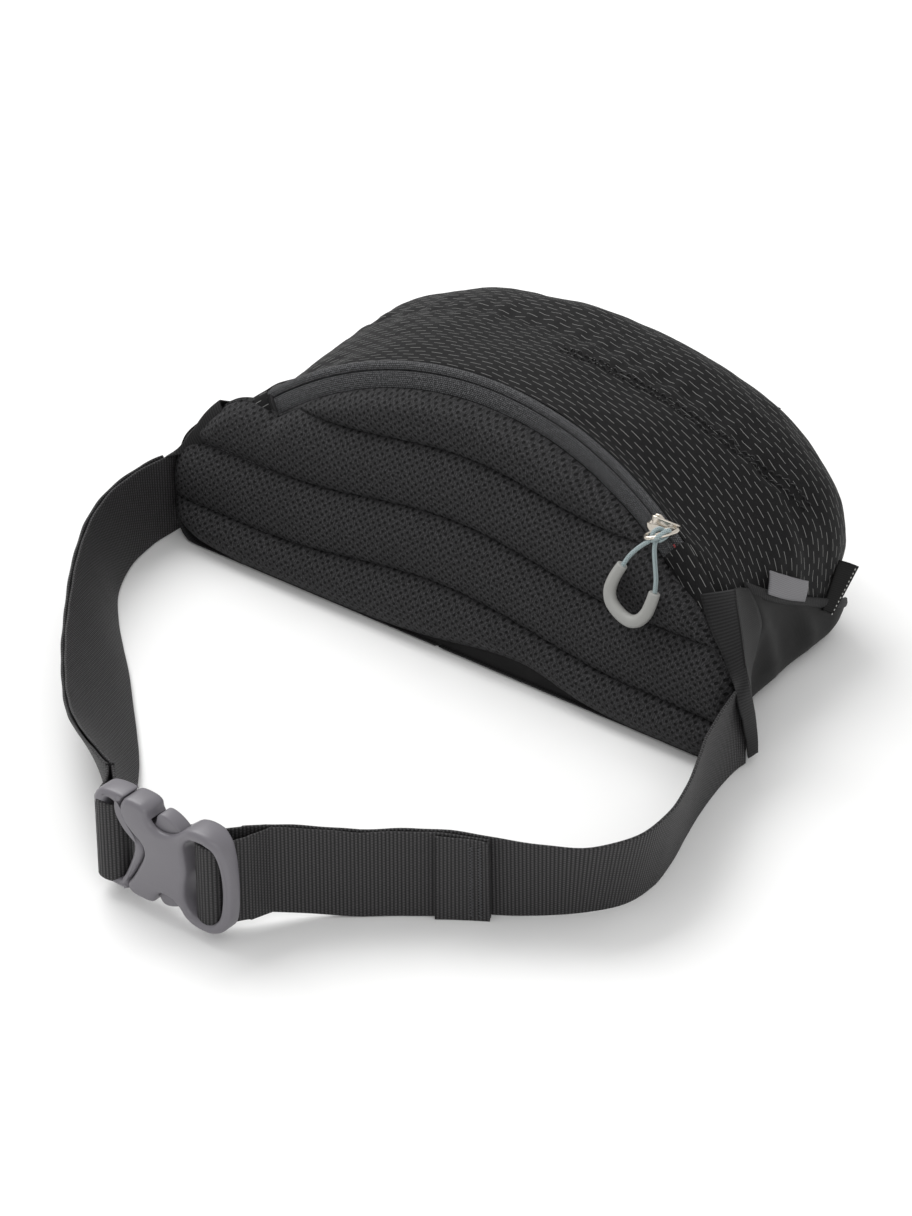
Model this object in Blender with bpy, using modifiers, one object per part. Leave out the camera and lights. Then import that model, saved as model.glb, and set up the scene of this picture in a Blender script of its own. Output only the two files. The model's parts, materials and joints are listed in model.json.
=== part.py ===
"""Waist pack with a padded back panel, two zips and a buckled hip belt.

The pack stands on its base with the belt closed in a loop in front of the padded side.
Numbers are in millimetres and become metres where a mesh is made.
X runs along the back panel, -Y points to the wearer, Z is up.
The origin is the centre of the pack's flat base.
"""
import math

import bmesh
import bpy
from mathutils import Vector

MM = 0.001
GAP = 0.3                      # air between pieces that touch

# Back plane: it leans back, and the pad and the main zip lie in it
BACK_Y = -56.5                 # where the plane meets the ground
BACK_LEAN = math.radians(16.7)
ZIP_RADIUS = 167.0             # middle line of the main zip
ZIP_CENTRE_V = -57.0           # height of the arc's centre, measured up the plane
ZIP_END = math.radians(39.5)   # half the zip's arc
ZIP_BAND = 5.0                 # half the width of the band that the zip fills
ZIP_LINE = ZIP_RADIUS + 2.0    # where the two tapes meet and the slider runs
WING_U = 146.0                 # half the back panel's width
WING_ROUND = 30.0              # rounding above each wing's end
CORNER_ROUND = 16.0            # rounding of the panel's bottom corners
PANEL_LIFT = 6.0               # height of the pad's lower edge above the rim

# Body of the pack behind the back plane
BODY_HALF = 125.0
BODY_TOP = 112.0
BODY_KNEE = 45.0               # height where the sides turn into the top
BODY_FULLNESS = 2.0            # exponent of the top's curve
BODY_CORNER = 14.0
BASE_SHRINK = 4.5              # how far the base panel stays inside the rounded corner
CROWN = 4.0                    # how far the top stands up between back and front
FRONT_START_Y = 42.0
FRONT_DEPTH = 30.0
FRONT_INSET = 26.0
FRONT_MIDDLE_Z = 50.0
CLOTH = 1.6                    # thickness of the padded shell fabric
AROUND = 20                    # steps from the top's middle to the base's middle

# Side pockets
HEM_BACK_Y = -50.0
HEM_BACK_Z = 72.0
HEM_SLOPE = 0.525
TAB_REACH = 7.0
TAB_DEPTH = 5.8                # station where the front tabs are sewn in

# Back panel layers, as distances from the back plane towards the wearer
LINING = (0.3, 1.3)
COVER = (1.6, 10.4)
FOAM = (1.6, 8.4)

# Belt
WEBBING = 38.0
WEB_THICK = 1.3
LAYER_STEP = 2.1               # distance between the middles of two layers
STRAP_X = 148.2
BELT_AXIS_Z = 19.0

# Buckle, with its long axis along X
BUCKLE_Y = -266.0
BUCKLE_Z = 25.0
BUCKLE_HALF = 23.0
BUCKLE_THICK = 11.0
SEAM_X = 21.4                  # where the two halves meet
FEMALE_END_X = 72.0
MALE_END_X = 8.0
ARM_AXIS_X = 22.6
ARM_AXIS_Z = 13.2              # above and below the buckle's middle

# Zip sliders and pull
SLIDER_ANGLE = math.radians(33.5)
PULL_W = 12.5                  # distance of the ring's outer end from the back plane
RING_W = 5.2                   # height of the ring's wire in the slider's eye
RING_REACH = 3.0
RING_HALF = 6.0                # half the ring's width
GRIP_RISE = 1.5                # how far the grip stands off its cord's knot
FRONT_ZIP_Z = 74.0
FRONT_ZIP_Y = 75.6
FRONT_ZIP_HALF = 70.0
FRONT_SLIDER_X = 62.0


# ---------------------------------------------------------------- scene and materials

def clear_scene():
    for old in list(bpy.data.objects):
        bpy.data.objects.remove(old, do_unlink=True)


clear_scene()
PARTS = bpy.data.collections.new("waist_pack")
CUTTERS = bpy.data.collections.new("cutters")
for collection in (PARTS, CUTTERS):
    bpy.context.scene.collection.children.link(collection)


def material(name, colour, roughness, metallic=0.0):
    found = bpy.data.materials.get(name)
    if found:
        return found
    made = bpy.data.materials.new(name)
    made.use_nodes = True
    shader = made.node_tree.nodes["Principled BSDF"]
    shader.inputs["Base Color"].default_value = (*colour, 1.0)
    shader.inputs["Roughness"].default_value = roughness
    shader.inputs["Metallic"].default_value = metallic
    return made


SHELL = material("shell_fabric", (0.020, 0.020, 0.023), 0.75)
PLAIN = material("plain_fabric", (0.014, 0.014, 0.016), 0.80)
MESH = material("spacer_mesh", (0.028, 0.028, 0.031), 0.85)
FOAMED = material("foam", (0.120, 0.120, 0.125), 0.95)
TAPE = material("zip_tape", (0.070, 0.078, 0.085), 0.65)
COIL = material("zip_coil", (0.045, 0.048, 0.052), 0.45)
WEB = material("webbing", (0.017, 0.017, 0.019), 0.70)
MOULDED = material("moulded_plastic", (0.115, 0.112, 0.125), 0.50)
METAL = material("slider_metal", (0.620, 0.580, 0.520), 0.25, 1.0)
CORD = material("pull_cord", (0.330, 0.400, 0.410), 0.70)
GRIP = material("pull_grip", (0.330, 0.330, 0.310), 0.50)
LABEL = material("woven_label", (0.230, 0.230, 0.235), 0.70)


# ---------------------------------------------------------------- building helpers

def empty(name, place, turn=(0.0, 0.0, 0.0)):
    """A frame that pieces hang from; place in millimetres."""
    made = bpy.data.objects.new(name, None)
    made.location = Vector(place) * MM
    made.rotation_euler = turn
    PARTS.objects.link(made)
    return made


def from_bmesh(name, shape, look, parent=None, collection=PARTS):
    bmesh.ops.recalc_face_normals(shape, faces=shape.faces)
    mesh = bpy.data.meshes.new(name)
    shape.to_mesh(mesh)
    shape.free()
    if look:
        mesh.materials.append(look)
    made = bpy.data.objects.new(name, mesh)
    made.parent = parent
    collection.objects.link(made)
    return made


def relative(points, origin):
    base = Vector(origin)
    return [(Vector(p) - base) * MM for p in points]


def sheet(name, rows, thick, look, parent=None, origin=(0, 0, 0), side=0.0):
    """A closed solid of cloth thickness on a grid of points."""
    shape = bmesh.new()
    grid = [[shape.verts.new(p) for p in relative(row, origin)] for row in rows]
    for low, high in zip(grid, grid[1:]):
        for a, b, c, d in zip(low, low[1:], high[1:], high):
            shape.faces.new((a, b, c, d))
    made = from_bmesh(name, shape, look, parent)
    if parent is None:
        made.location = Vector(origin) * MM
    solid = made.modifiers.new("thickness", "SOLIDIFY")
    solid.thickness = thick * MM
    solid.offset = side
    return made


def plate(name, outline, low, high, look, parent=None, bevel=0.0, collection=PARTS):
    """A flat outline in its parent's XY plane, between two heights."""
    curve = bpy.data.curves.new(name, "CURVE")
    curve.dimensions = "2D"
    curve.fill_mode = "BOTH"
    curve.extrude = (high - low) / 2 * MM
    spline = curve.splines.new("POLY")
    spline.points.add(len(outline) - 1)
    for point, (x, y) in zip(spline.points, outline):
        point.co = (x * MM, y * MM, 0, 1)
    spline.use_cyclic_u = True
    drawn = bpy.data.objects.new(name + "_outline", curve)
    bpy.context.scene.collection.objects.link(drawn)
    bpy.context.view_layer.update()
    ready = drawn.evaluated_get(bpy.context.evaluated_depsgraph_get())
    mesh = bpy.data.meshes.new_from_object(ready)
    bpy.data.objects.remove(drawn, do_unlink=True)
    shape = bmesh.new()
    shape.from_mesh(mesh)
    bpy.data.meshes.remove(mesh)
    bmesh.ops.remove_doubles(shape, verts=shape.verts, dist=0.00002)
    bmesh.ops.translate(shape, verts=shape.verts, vec=(0, 0, (low + high) / 2 * MM))
    made = from_bmesh(name, shape, look, parent, collection)
    if bevel:
        soften(made, bevel)
    return made


def soften(piece, width, segments=2):
    edge = piece.modifiers.new("edge", "BEVEL")
    edge.width = width * MM
    edge.segments = segments
    edge.limit_method = "ANGLE"
    edge.angle_limit = math.radians(40)
    edge.use_clamp_overlap = True


def block(name, low, high, look=None, parent=None, bevel=0.0, collection=PARTS):
    """A box between two corners, with its origin at its middle."""
    shape = bmesh.new()
    bmesh.ops.create_cube(shape, size=1.0)
    size = Vector(high) - Vector(low)
    bmesh.ops.scale(shape, verts=shape.verts, vec=size * MM)
    made = from_bmesh(name, shape, look, parent, collection)
    made.location = (Vector(high) + Vector(low)) / 2 * MM
    if bevel:
        soften(made, bevel)
    return made


def wire(name, points, radius, look, parent=None, closed=False, sides=2):
    """A round wire or cord through points."""
    curve = bpy.data.curves.new(name, "CURVE")
    curve.dimensions = "3D"
    curve.bevel_depth = radius * MM
    curve.bevel_resolution = sides
    curve.use_fill_caps = True
    spline = curve.splines.new("POLY")
    spline.points.add(len(points) - 1)
    for knot, place in zip(spline.points, points):
        knot.co = (*(Vector(place) * MM), 1)
    spline.use_cyclic_u = closed
    curve.materials.append(look)
    made = bpy.data.objects.new(name, curve)
    made.parent = parent
    PARTS.objects.link(made)
    return made


def as_cutter(piece):
    piece.hide_render = True
    piece.display_type = "WIRE"
    return piece


def change(piece, other, operation="DIFFERENCE", solver="EXACT"):
    step = piece.modifiers.new(operation.lower(), "BOOLEAN")
    step.operation = operation
    step.object = as_cutter(other)
    step.solver = solver


def smooth_path(points, steps):
    """Catmull-Rom curve through points of any width."""
    padded = [points[0]] + list(points) + [points[-1]]
    path = []
    for a, b, c, d in zip(padded, padded[1:], padded[2:], padded[3:]):
        for i in range(steps):
            t = i / steps
            path.append(tuple(
                0.5 * (2 * q + (r - p) * t + (2 * p - 5 * q + 4 * r - s) * t * t
                       + (3 * q - p - 3 * r + s) * t ** 3)
                for p, q, r, s in zip(a, b, c, d)))
    path.append(tuple(points[-1]))
    return path


def arc_points(centre, radius, start, end, steps):
    cx, cy = centre
    return [(cx + radius * math.cos(start + (end - start) * i / steps),
             cy + radius * math.sin(start + (end - start) * i / steps))
            for i in range(steps + 1)]


# ---------------------------------------------------------------- outlines

def back_edge():
    """Right half of the back panel's edge: (u, v, normal angle), top to bottom."""
    edge = []
    for i in range(13):
        angle = ZIP_END * i / 12
        edge.append((ZIP_RADIUS * math.sin(angle),
                     ZIP_CENTRE_V + ZIP_RADIUS * math.cos(angle), math.pi / 2 - angle))
    slope = math.pi / 2 - ZIP_END
    last_u, last_v, _ = edge[-1]
    drop = (WING_U - last_u) * math.tan(ZIP_END)
    corner_v = last_v - drop
    cut = WING_ROUND * math.tan(slope / 2)
    centre = (WING_U - WING_ROUND, corner_v - cut)
    for u, v in arc_points(centre, WING_ROUND, slope, 0.0, 5):
        angle = math.atan2(v - centre[1], u - centre[0])
        edge.append((u, v, angle))
    centre = (WING_U - CORNER_ROUND, CORNER_ROUND)
    for u, v in arc_points(centre, CORNER_ROUND, 0.0, -math.pi / 2, 4):
        edge.append((u, v, math.atan2(v - centre[1], u - centre[0])))
    edge.append((WING_U / 2, 0.0, -math.pi / 2))
    edge.append((0.0, 0.0, -math.pi / 2))
    return edge


def band_share(u, v):
    """1 along the zip, falling to 0 at the wings and the lower edge."""
    start = ZIP_RADIUS * math.sin(ZIP_END)
    if v < ZIP_BAND * 7:
        return 0.0
    return max(0.0, min(1.0, 1.0 - (u - start) / (WING_U - 8.0 - start)))


def moved_edge(along_zip, elsewhere):
    """The half edge moved outwards by one distance at the zip and another elsewhere."""
    half = []
    for u, v, angle in back_edge():
        share = band_share(u, v)
        out = along_zip * share + elsewhere * (1 - share)
        half.append((max(0.0, u + out * math.cos(angle)), max(0.0, v + out * math.sin(angle))))
    return half


def mirrored(half):
    """A closed outline from its right half, which starts and ends on the middle line."""
    return half + [(-u, v) for u, v in reversed(half[1:-1])]


def resampled(half, count):
    """Points at equal steps along a polyline."""
    lengths = [0.0]
    for (a, b), (c, d) in zip(half, half[1:]):
        lengths.append(lengths[-1] + math.hypot(c - a, d - b))
    out = []
    for i in range(count + 1):
        want = lengths[-1] * i / count
        k = max(j for j, length in enumerate(lengths[:-1]) if length <= want + 1e-9)
        t = (want - lengths[k]) / (lengths[k + 1] - lengths[k])
        (a, b), (c, d) = half[k], half[k + 1]
        out.append((a + (c - a) * t, b + (d - b) * t))
    return out


def body_half():
    """Right half of the body's section, top to bottom."""
    half = []
    for i in range(17):
        angle = math.pi / 2 * i / 16
        half.append((BODY_HALF * math.sin(angle) ** (2 / BODY_FULLNESS),
                     BODY_KNEE + (BODY_TOP - BODY_KNEE) * math.cos(angle) ** (2 / BODY_FULLNESS)))
    centre = (BODY_HALF - BODY_CORNER, BODY_CORNER)
    half += arc_points(centre, BODY_CORNER, 0.0, -math.pi / 2, 4)
    half.append((0.0, 0.0))
    return half


RIM = resampled(moved_edge(ZIP_BAND, 0.6), AROUND)
SECTION = resampled(body_half(), AROUND)
# Stations from back to front: ground y, lean, share of the width change, of the height change
STATIONS = (
    (BACK_Y + 1.6, math.tan(BACK_LEAN), 0.0, 0.0),
    (-47.0, 0.27, 0.45, 0.12),
    (-31.0, 0.22, 0.78, 0.35),
    (-8.0, 0.13, 0.95, 0.62),
    (18.0, 0.05, 1.0, 0.88),
    (FRONT_START_Y, 0.0, 1.0, 1.0),
)


def station_ring(y, lean, widen, lift):
    """Half ring of the body at one station, as (x, y, z)."""
    ring = []
    for i, ((u, v), (x, z)) in enumerate(zip(RIM, SECTION)):
        height = v * math.cos(BACK_LEAN) * (1 - lift) + z * lift
        across = u * (1 - widen) + x * widen
        crown = CROWN * math.sin(math.pi * lift) * max(0.0, height - BODY_KNEE) / BODY_TOP
        ring.append((across, y + lean * height, height + crown))
    return ring


def body_rings():
    """Half rings from the back rim to the middle of the front."""
    rings = [station_ring(*station) for station in STATIONS]
    last = rings[-1]

    def shrunk(y, inset):
        return [(x * (1 - inset / BODY_HALF), y,
                 FRONT_MIDDLE_Z + (z - FRONT_MIDDLE_Z) * (1 - inset / (BODY_TOP - FRONT_MIDDLE_Z)))
                for x, _, z in last]

    for turn in (30, 60, 90):
        angle = math.radians(turn)
        rings.append(shrunk(FRONT_START_Y + FRONT_DEPTH * math.sin(angle),
                            FRONT_INSET * (1 - math.cos(angle))))
    rings.append(shrunk(FRONT_START_Y + FRONT_DEPTH + 2.0, FRONT_INSET + 24.0))
    return rings


RINGS = body_rings()


def body_point(depth, around, out=0.0, side=1):
    """A point on the body: depth in stations, around in steps, moved outwards."""
    def raw(d, a):
        d = max(0.0, min(len(RINGS) - 1.001, d))
        a = max(0.0, min(AROUND - 0.001, a))
        i, j = int(d), int(a)
        s, t = d - i, a - j
        near = Vector(RINGS[i][j]).lerp(Vector(RINGS[i][j + 1]), t)
        far = Vector(RINGS[i + 1][j]).lerp(Vector(RINGS[i + 1][j + 1]), t)
        return near.lerp(far, s)

    along = raw(depth + 0.5, around) - raw(depth - 0.5, around)
    down = raw(depth, around + 0.5) - raw(depth, around - 0.5)
    normal = down.cross(along).normalized()
    place = raw(depth, around) + normal * out
    return (place.x * side, place.y, place.z)


def step_at(depth, height):
    """Steps around the body, from the top's middle, to a height on its side."""
    step = AROUND / 4
    while step < AROUND and body_point(depth, step)[2] > height:
        step += 0.1
    return step


def body_patch(name, depths, heights, thick, look, out, side=1):
    """A cloth patch that follows the body's side between heights."""
    rows = [[body_point(d, step_at(d, h), out, side) for h in heights(d)] for d in depths]
    return sheet(name, rows, thick, look)


def spread(low, high, count):
    return [low + (high - low) * i / count for i in range(count + 1)]


BACK = empty("back_plane", (0, BACK_Y, 0), (math.pi / 2 - BACK_LEAN, 0, 0))
ZIP_AXIS = empty("main_zip_axis", (0, ZIP_CENTRE_V, 0))
ZIP_AXIS.parent = BACK


# ---------------------------------------------------------------- body of the pack

def base_outline(shrink):
    """The flat base, a little inside the edge of the body's flat underside."""
    right = [(WING_U * (1 - widen) + BODY_HALF * widen - BODY_CORNER - shrink, y)
             for y, _, widen, _ in STATIONS]
    (back_x, back_y), (next_x, next_y) = right[:2]
    right[0] = (back_x + (next_x - back_x) * shrink / (next_y - back_y), back_y + shrink)
    right[-1] = (right[-1][0], right[-1][1] - shrink)
    return right + [(-x, y) for x, y in reversed(right)]


def body():
    shape = bmesh.new()
    rows = []
    for ring in RINGS:
        full = ring + [(-x, y, z) for x, y, z in reversed(ring[1:-1])]
        rows.append([shape.verts.new(Vector(p) * MM) for p in full])
    for near, far in zip(rows, rows[1:]):
        for i in range(len(near)):
            j = (i + 1) % len(near)
            shape.faces.new((near[i], near[j], far[j], far[i]))
    shape.faces.new(rows[-1])
    made = from_bmesh("shell_body", shape, SHELL)
    solid = made.modifiers.new("thickness", "SOLIDIFY")
    solid.thickness = CLOTH * MM
    solid.offset = -1.0
    hole = plate("base_hole", base_outline(BASE_SHRINK - 2 * GAP), -5.0, 6.0, None, None, 0.0, CUTTERS)
    change(made, hole)
    plate("base_panel", base_outline(BASE_SHRINK), 0.0, CLOTH, PLAIN)


def back_panel():
    plate("back_lining", mirrored(moved_edge(-ZIP_BAND - GAP, -0.6)), *LINING, PLAIN, BACK)
    cover = plate("back_pad_cover", pad_outline(0.0), *COVER, MESH, BACK, 3.0)
    foam_room = plate("foam_room", pad_outline(-3.5 + GAP), -2.0, FOAM[1] + GAP, None, BACK,
                      0.0, CUTTERS)
    change(cover, foam_room)
    plate("back_foam", pad_outline(-3.5), *FOAM, FOAMED, BACK)
    block("security_pocket", (-80, 12, -5.0), (80, 78, -4.0), PLAIN, BACK)


def pad_outline(grow):
    """The pad's edge; its lower side rises a little towards the middle."""
    half = moved_edge(-ZIP_BAND - GAP + grow, -0.6 + grow)
    raised = [(u, v + PANEL_LIFT * (1 + math.cos(math.pi * u / WING_U)) / 2) if v < CORNER_ROUND
              else (u, v) for u, v in half]
    return mirrored(raised)


def arc_band(name, inner, outer, height, thick, look, start=-ZIP_END, end=ZIP_END, steps=24):
    """A flat strip along the main zip's arc."""
    rows = []
    for angle in spread(start, end, steps):
        rows.append([(r * math.sin(angle), ZIP_CENTRE_V + r * math.cos(angle), height)
                     for r in (inner, outer)])
    return sheet(name, rows, thick, look, BACK)


def main_zip():
    middle = ZIP_RADIUS
    arc_band("zip_tape_lower", middle - ZIP_BAND + GAP, ZIP_LINE - 0.2, 0.7, 0.8, TAPE)
    arc_band("zip_tape_upper", ZIP_LINE + 0.2, middle + ZIP_BAND - GAP, 0.7, 0.8, TAPE)
    arc_band("zip_coil", ZIP_LINE - 3.0, ZIP_LINE + 1.4, -0.8, 1.4, COIL)
    for side, label in ((-1, "left"), (1, "right")):
        angle = side * (ZIP_END + math.radians(0.6))
        place = (middle * math.sin(angle), ZIP_CENTRE_V + middle * math.cos(angle), 0.9)
        stop = block("zip_stop_" + label, (-0.7, -2.4, -0.9), (0.7, 2.4, 0.9), METAL, BACK, 0.3)
        stop.location = Vector(place) * MM
        stop.rotation_euler = (0, 0, -angle)
        start = side * (ZIP_END - math.radians(2.2))
        end = side * (ZIP_END + math.radians(3.4))
        low, high = min(start, end), max(start, end)
        arc_band("zip_garage_" + label, middle - 3.4, middle + 5.4, 2.6, 0.8, SHELL, low, high, 4)


def hem_height(depth):
    """Height of the side pocket's mouth: it slopes down to the front."""
    return HEM_BACK_Z - HEM_SLOPE * (body_point(depth, AROUND / 2)[1] - HEM_BACK_Y)


def sides():
    for side, label in ((1, "right"), (-1, "left")):
        body_patch("side_pocket_" + label, spread(0.5, 5.5, 15),
                   lambda d: spread(hem_height(d) - 5.2, 12.5, 5), 0.8, PLAIN, 2.2, side)
        body_patch("pocket_hem_" + label, spread(0.5, 5.5, 15),
                   lambda d: (hem_height(d), hem_height(d) - 4.0), 1.4, PLAIN, 2.0, side)
        body_patch("wing_strip_" + label, (0.1, 0.25, 0.4), lambda d: spread(66, 42, 4), 0.8,
                   PLAIN, 1.6, side)
        fin = [[body_point(TAB_DEPTH, step_at(TAB_DEPTH, h), out, side) for h in (31, 24, 17)]
               for out in (1.2, 6.0, TAB_REACH)]
        sheet("front_tab_" + label, fin, 1.6, PLAIN)
    body_patch("side_label", spread(2.75, 3.9, 4),
               lambda d: spread(hem_height(d) + 12.5, hem_height(d) + 2.0, 2), 1.4, LABEL, 2.2)


# ---------------------------------------------------------------- front pocket

def front_pocket():
    z, y, half = FRONT_ZIP_Z, FRONT_ZIP_Y, FRONT_ZIP_HALF
    block("front_zip_tape", (-half, y, z - 7), (half, y + 0.9, z + 7), TAPE)
    block("front_zip_coil", (-half + 2, y + 1.2, z - 2), (half - 2, y + 2.4, z + 2), COIL, None, 0.4)
    for side, label in ((-1, "left"), (1, "right")):
        x = side * (half + 2.2)
        block("front_zip_end_" + label, (x - 1.8, y, z - 6), (x + 1.8, y + 1.2, z + 6), PLAIN)
    block("front_pocket_bag", (-75, 58, 24), (75, 59, 78), PLAIN)
    frame = empty("front_slider_axis", (FRONT_SLIDER_X, y + 2.7, z))
    slider_plate = block("front_slider", (-4.2, 0, -3.6), (4.2, 2.0, 3.6), METAL, frame, 0.5)
    crown = block("front_slider_crown", (-1.1, 1.0, -3.0), (1.1, 4.8, 3.0), METAL, frame, 0.4, CUTTERS)
    eye = block("front_slider_eye", (-3, 2.1, -1.6), (3, 3.9, 1.6), METAL, frame, 0.0, CUTTERS)
    change(slider_plate, crown, "UNION")
    change(slider_plate, eye)
    pull_axis = empty("front_pull_axis", (FRONT_SLIDER_X, y + 2.7 + 3.0, z))
    right = [(2.2, 0, 0), (3.0, 0.8, -3.0), (2.6, 1.0, -9.0), (1.6, 0.6, -20.0)]
    loop = right + [(-x, dy, dz) for x, dy, dz in reversed(right)]
    wire("front_pull_cord", loop, 0.6, CORD, pull_axis, True, 1)
    block("front_pull_grip", (-4.5, -1.2, -34.0), (4.5, 2.2, -21.0), GRIP, pull_axis, 1.2)


# ---------------------------------------------------------------- main slider and pull

def main_pull():
    """Slider on the zip's arc; its frame is turned so that local +Y points away from the centre."""
    frame = empty("main_slider_frame", (0, 0, 0), (0, 0, -SLIDER_ANGLE))
    frame.parent = ZIP_AXIS
    r = ZIP_LINE
    body_plate = block("main_slider", (-4.6, r - 4.0, 1.6), (4.6, r + 4.0, 3.6), METAL, frame, 0.6)
    crown = block("main_slider_crown", (-1.3, r - 3.4, 2.8), (1.3, r + 3.4, 7.4), METAL, frame,
                  0.6, CUTTERS)
    eye = block("main_slider_eye", (-4, r - 2.1, 4.0), (4, r + 2.1, 6.4), METAL, frame, 0.0, CUTTERS)
    change(body_plate, crown, "UNION")
    change(body_plate, eye)
    block("main_slider_back", (-4.6, r - 5.4, -4.2), (4.6, r, -1.9), METAL, frame, 0.5)
    ring_frame = empty("pull_ring_axis", (0, r, RING_W))
    ring_frame.parent = frame
    wire("pull_ring", ring_points(), 0.7, METAL, ring_frame, True, 2)
    hang = empty("pull_hang_axis", (0, -RING_REACH, PULL_W - RING_W), (0, 0, SLIDER_ANGLE))
    hang.parent = ring_frame
    wire("pull_cord", cord_points(), 0.9, CORD, hang, False, 2)
    grip = wire("pull_grip", grip_points(), 2.9, GRIP, hang, False, 2)
    grip.data.bevel_resolution = 3


def ring_points():
    """Oval wire through the slider's eye, reaching down over the pad's edge."""
    points = []
    for i in range(14):
        angle = 2 * math.pi * i / 14
        along = (math.cos(angle) - 1) / 2 * RING_REACH
        rise = math.sin(-along / RING_REACH * math.pi / 2) * (PULL_W - RING_W)
        points.append((RING_HALF * math.sin(angle), along, rise))
    return points


def cord_points():
    """One cord from the grip's left arm, over the ring's outer end, to its right arm."""
    return [(-6.2, -10.6, GRIP_RISE), (-5.4, -8.8, GRIP_RISE), (-3.6, -5.8, 1.4), (-1.4, -3.0, 1.6),
            (0.8, -1.6, 2.0), (3.6, -2.2, 1.8), (7.0, -5.2, 1.5), (10.2, -9.4, GRIP_RISE),
            (12.4, -14.2, GRIP_RISE), (12.9, -16.0, GRIP_RISE)]


def grip_points():
    """A lopsided U: its left arm is the longer one."""
    return [(-6.6, -11.6, GRIP_RISE), (-8.4, -17.0, GRIP_RISE), (-9.2, -22.6, GRIP_RISE),
            (-6.4, -29.0, GRIP_RISE), (-1.2, -31.4, GRIP_RISE), (4.6, -32.6, GRIP_RISE),
            (9.2, -31.0, GRIP_RISE), (12.4, -25.6, GRIP_RISE), (13.1, -17.0, GRIP_RISE)]


# ---------------------------------------------------------------- key hook inside

def key_hook():
    block("key_tape", (-42, 40, 60), (-32, 41, 96), WEB)
    hook = [(-37, 40.5, 59.0)]
    hook += [(-37 + x, 40.5, 50 + z) for x, z in arc_points((0, 0), 7.0, math.pi / 2,
                                                            -math.pi * 1.15, 10)]
    wire("key_hook", hook, 1.4, MOULDED, None, False, 2)


# ---------------------------------------------------------------- belt

# Each knot: x, y, outward lean in degrees, height of the lower edge
LEFT_STRAP = (
    (-STRAP_X, -50, 0, 0), (-STRAP_X, -58, 0, 0), (-148.5, -70, 3, 0), (-145, -90, 8, 0),
    (-135, -112, 14, 0), (-121, -131, 22, 0), (-107, -147, 30, 0), (-92, -163, 38, 0),
    (-76, -180, 43, 0), (-60, -196, 45, 0), (-43, -212, 41, 0.5), (-24, -230, 27, 2.5),
    (-8, -245.5, 10, 5), (-0.8, -252.2, 0, 6),
)
RIGHT_STRAP = (
    (STRAP_X, -50, 0, 0), (STRAP_X, -58, 0, 0), (151, -72, 2, 0), (156, -90, 4, 0),
    (162, -106, 7, 0), (168, -122, 9, 0), (172.5, -140, 11, 0), (171.5, -158, 14, 0),
    (161, -175, 16, 0), (143, -188.5, 9, 0), (125, -198, 3, 0), (109, -209, 0, 0),
    (94, -221.5, 0, 0), (80, -234.5, 0, 2.5), (69.5, -246, 0, 5),
)
# Where the right webbing goes round the locking bar: x, y
LOCK_LOOP = (
    (62, -253.5), (57, -257.8), (53, -260.8), (51.2, -265), (51.6, -269.2), (54, -271.2),
    (58, -271.2), (60.6, -269.2), (61.4, -265), (63.4, -260.6), (67.2, -255.6),
)
TAIL_KNOTS = 5                 # strap knots that the tail runs back over
MALE_LOOP = (
    (1.2, -254.2), (6, -258.4), (11, -260.2), (14.8, -261.8), (16.2, -266), (14.6, -270.4),
    (11, -271.5), (7.4, -270.4), (5.6, -266.6), (3.6, -262.2), (-0.4, -257.4),
)


def strap_rows(knots, shift, stack=0.0, steps=2):
    """Rows across a standing strap; shift moves it outwards, as one layer of a stack."""
    path = smooth_path([k[:2] for k in knots], steps)
    leans = smooth_path([k[2:] for k in knots], steps)
    rows = []
    for i, ((x, y), (lean, bottom)) in enumerate(zip(path, leans)):
        before = Vector(path[max(0, i - 1)])
        after = Vector(path[min(len(path) - 1, i + 1)])
        heading = (after - before).normalized()
        outward = Vector((heading.y, -heading.x)) * (1 if knots[0][0] < 0 else -1)
        angle = math.radians(max(0.0, lean))
        up = Vector((outward.x * math.sin(angle), outward.y * math.sin(angle), math.cos(angle)))
        face = Vector((outward.x * math.cos(angle), outward.y * math.cos(angle), -math.sin(angle)))
        foot = max(0.0, bottom) + (stack + WEB_THICK / 2) * math.sin(angle) + 0.2
        middle = Vector((x, y, foot + WEBBING / 2 * math.cos(angle))) + face * shift
        rows.append([tuple(middle + up * WEBBING * t) for t in (-0.5, 0.5)])
    return rows


def upright_rows(path, steps=2):
    """Rows of webbing that stands upright at the buckle's height."""
    return [[(x, y, BUCKLE_Z - WEBBING / 2), (x, y, BUCKLE_Z + WEBBING / 2)]
            for x, y in smooth_path(path, steps)]


def belt():
    axis = (0, -50.0, BELT_AXIS_Z)
    sheet("webbing_left_inner", strap_rows(LEFT_STRAP, 0.0, LAYER_STEP), WEB_THICK, WEB, None, axis)
    sheet("webbing_left_outer", strap_rows(LEFT_STRAP[1:], LAYER_STEP, LAYER_STEP), WEB_THICK, WEB, None, axis)
    sheet("webbing_male_loop", upright_rows(MALE_LOOP), WEB_THICK, WEB)
    main = strap_rows(RIGHT_STRAP, 0.0)
    loop = upright_rows(LOCK_LOOP)
    tail = strap_rows(RIGHT_STRAP[-TAIL_KNOTS:], LAYER_STEP)[::-1][1:]
    sheet("webbing_right", main + loop + tail, WEB_THICK, WEB, None, axis)
    flap = strap_rows(RIGHT_STRAP[-TAIL_KNOTS:], LAYER_STEP * 2)[:4]
    sheet("webbing_tail_fold", flap, WEB_THICK, WEB, None, axis)


# ---------------------------------------------------------------- buckle

BUCKLE = empty("buckle_frame", (0, BUCKLE_Y, BUCKLE_Z), (math.pi / 2, 0, 0))


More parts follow.
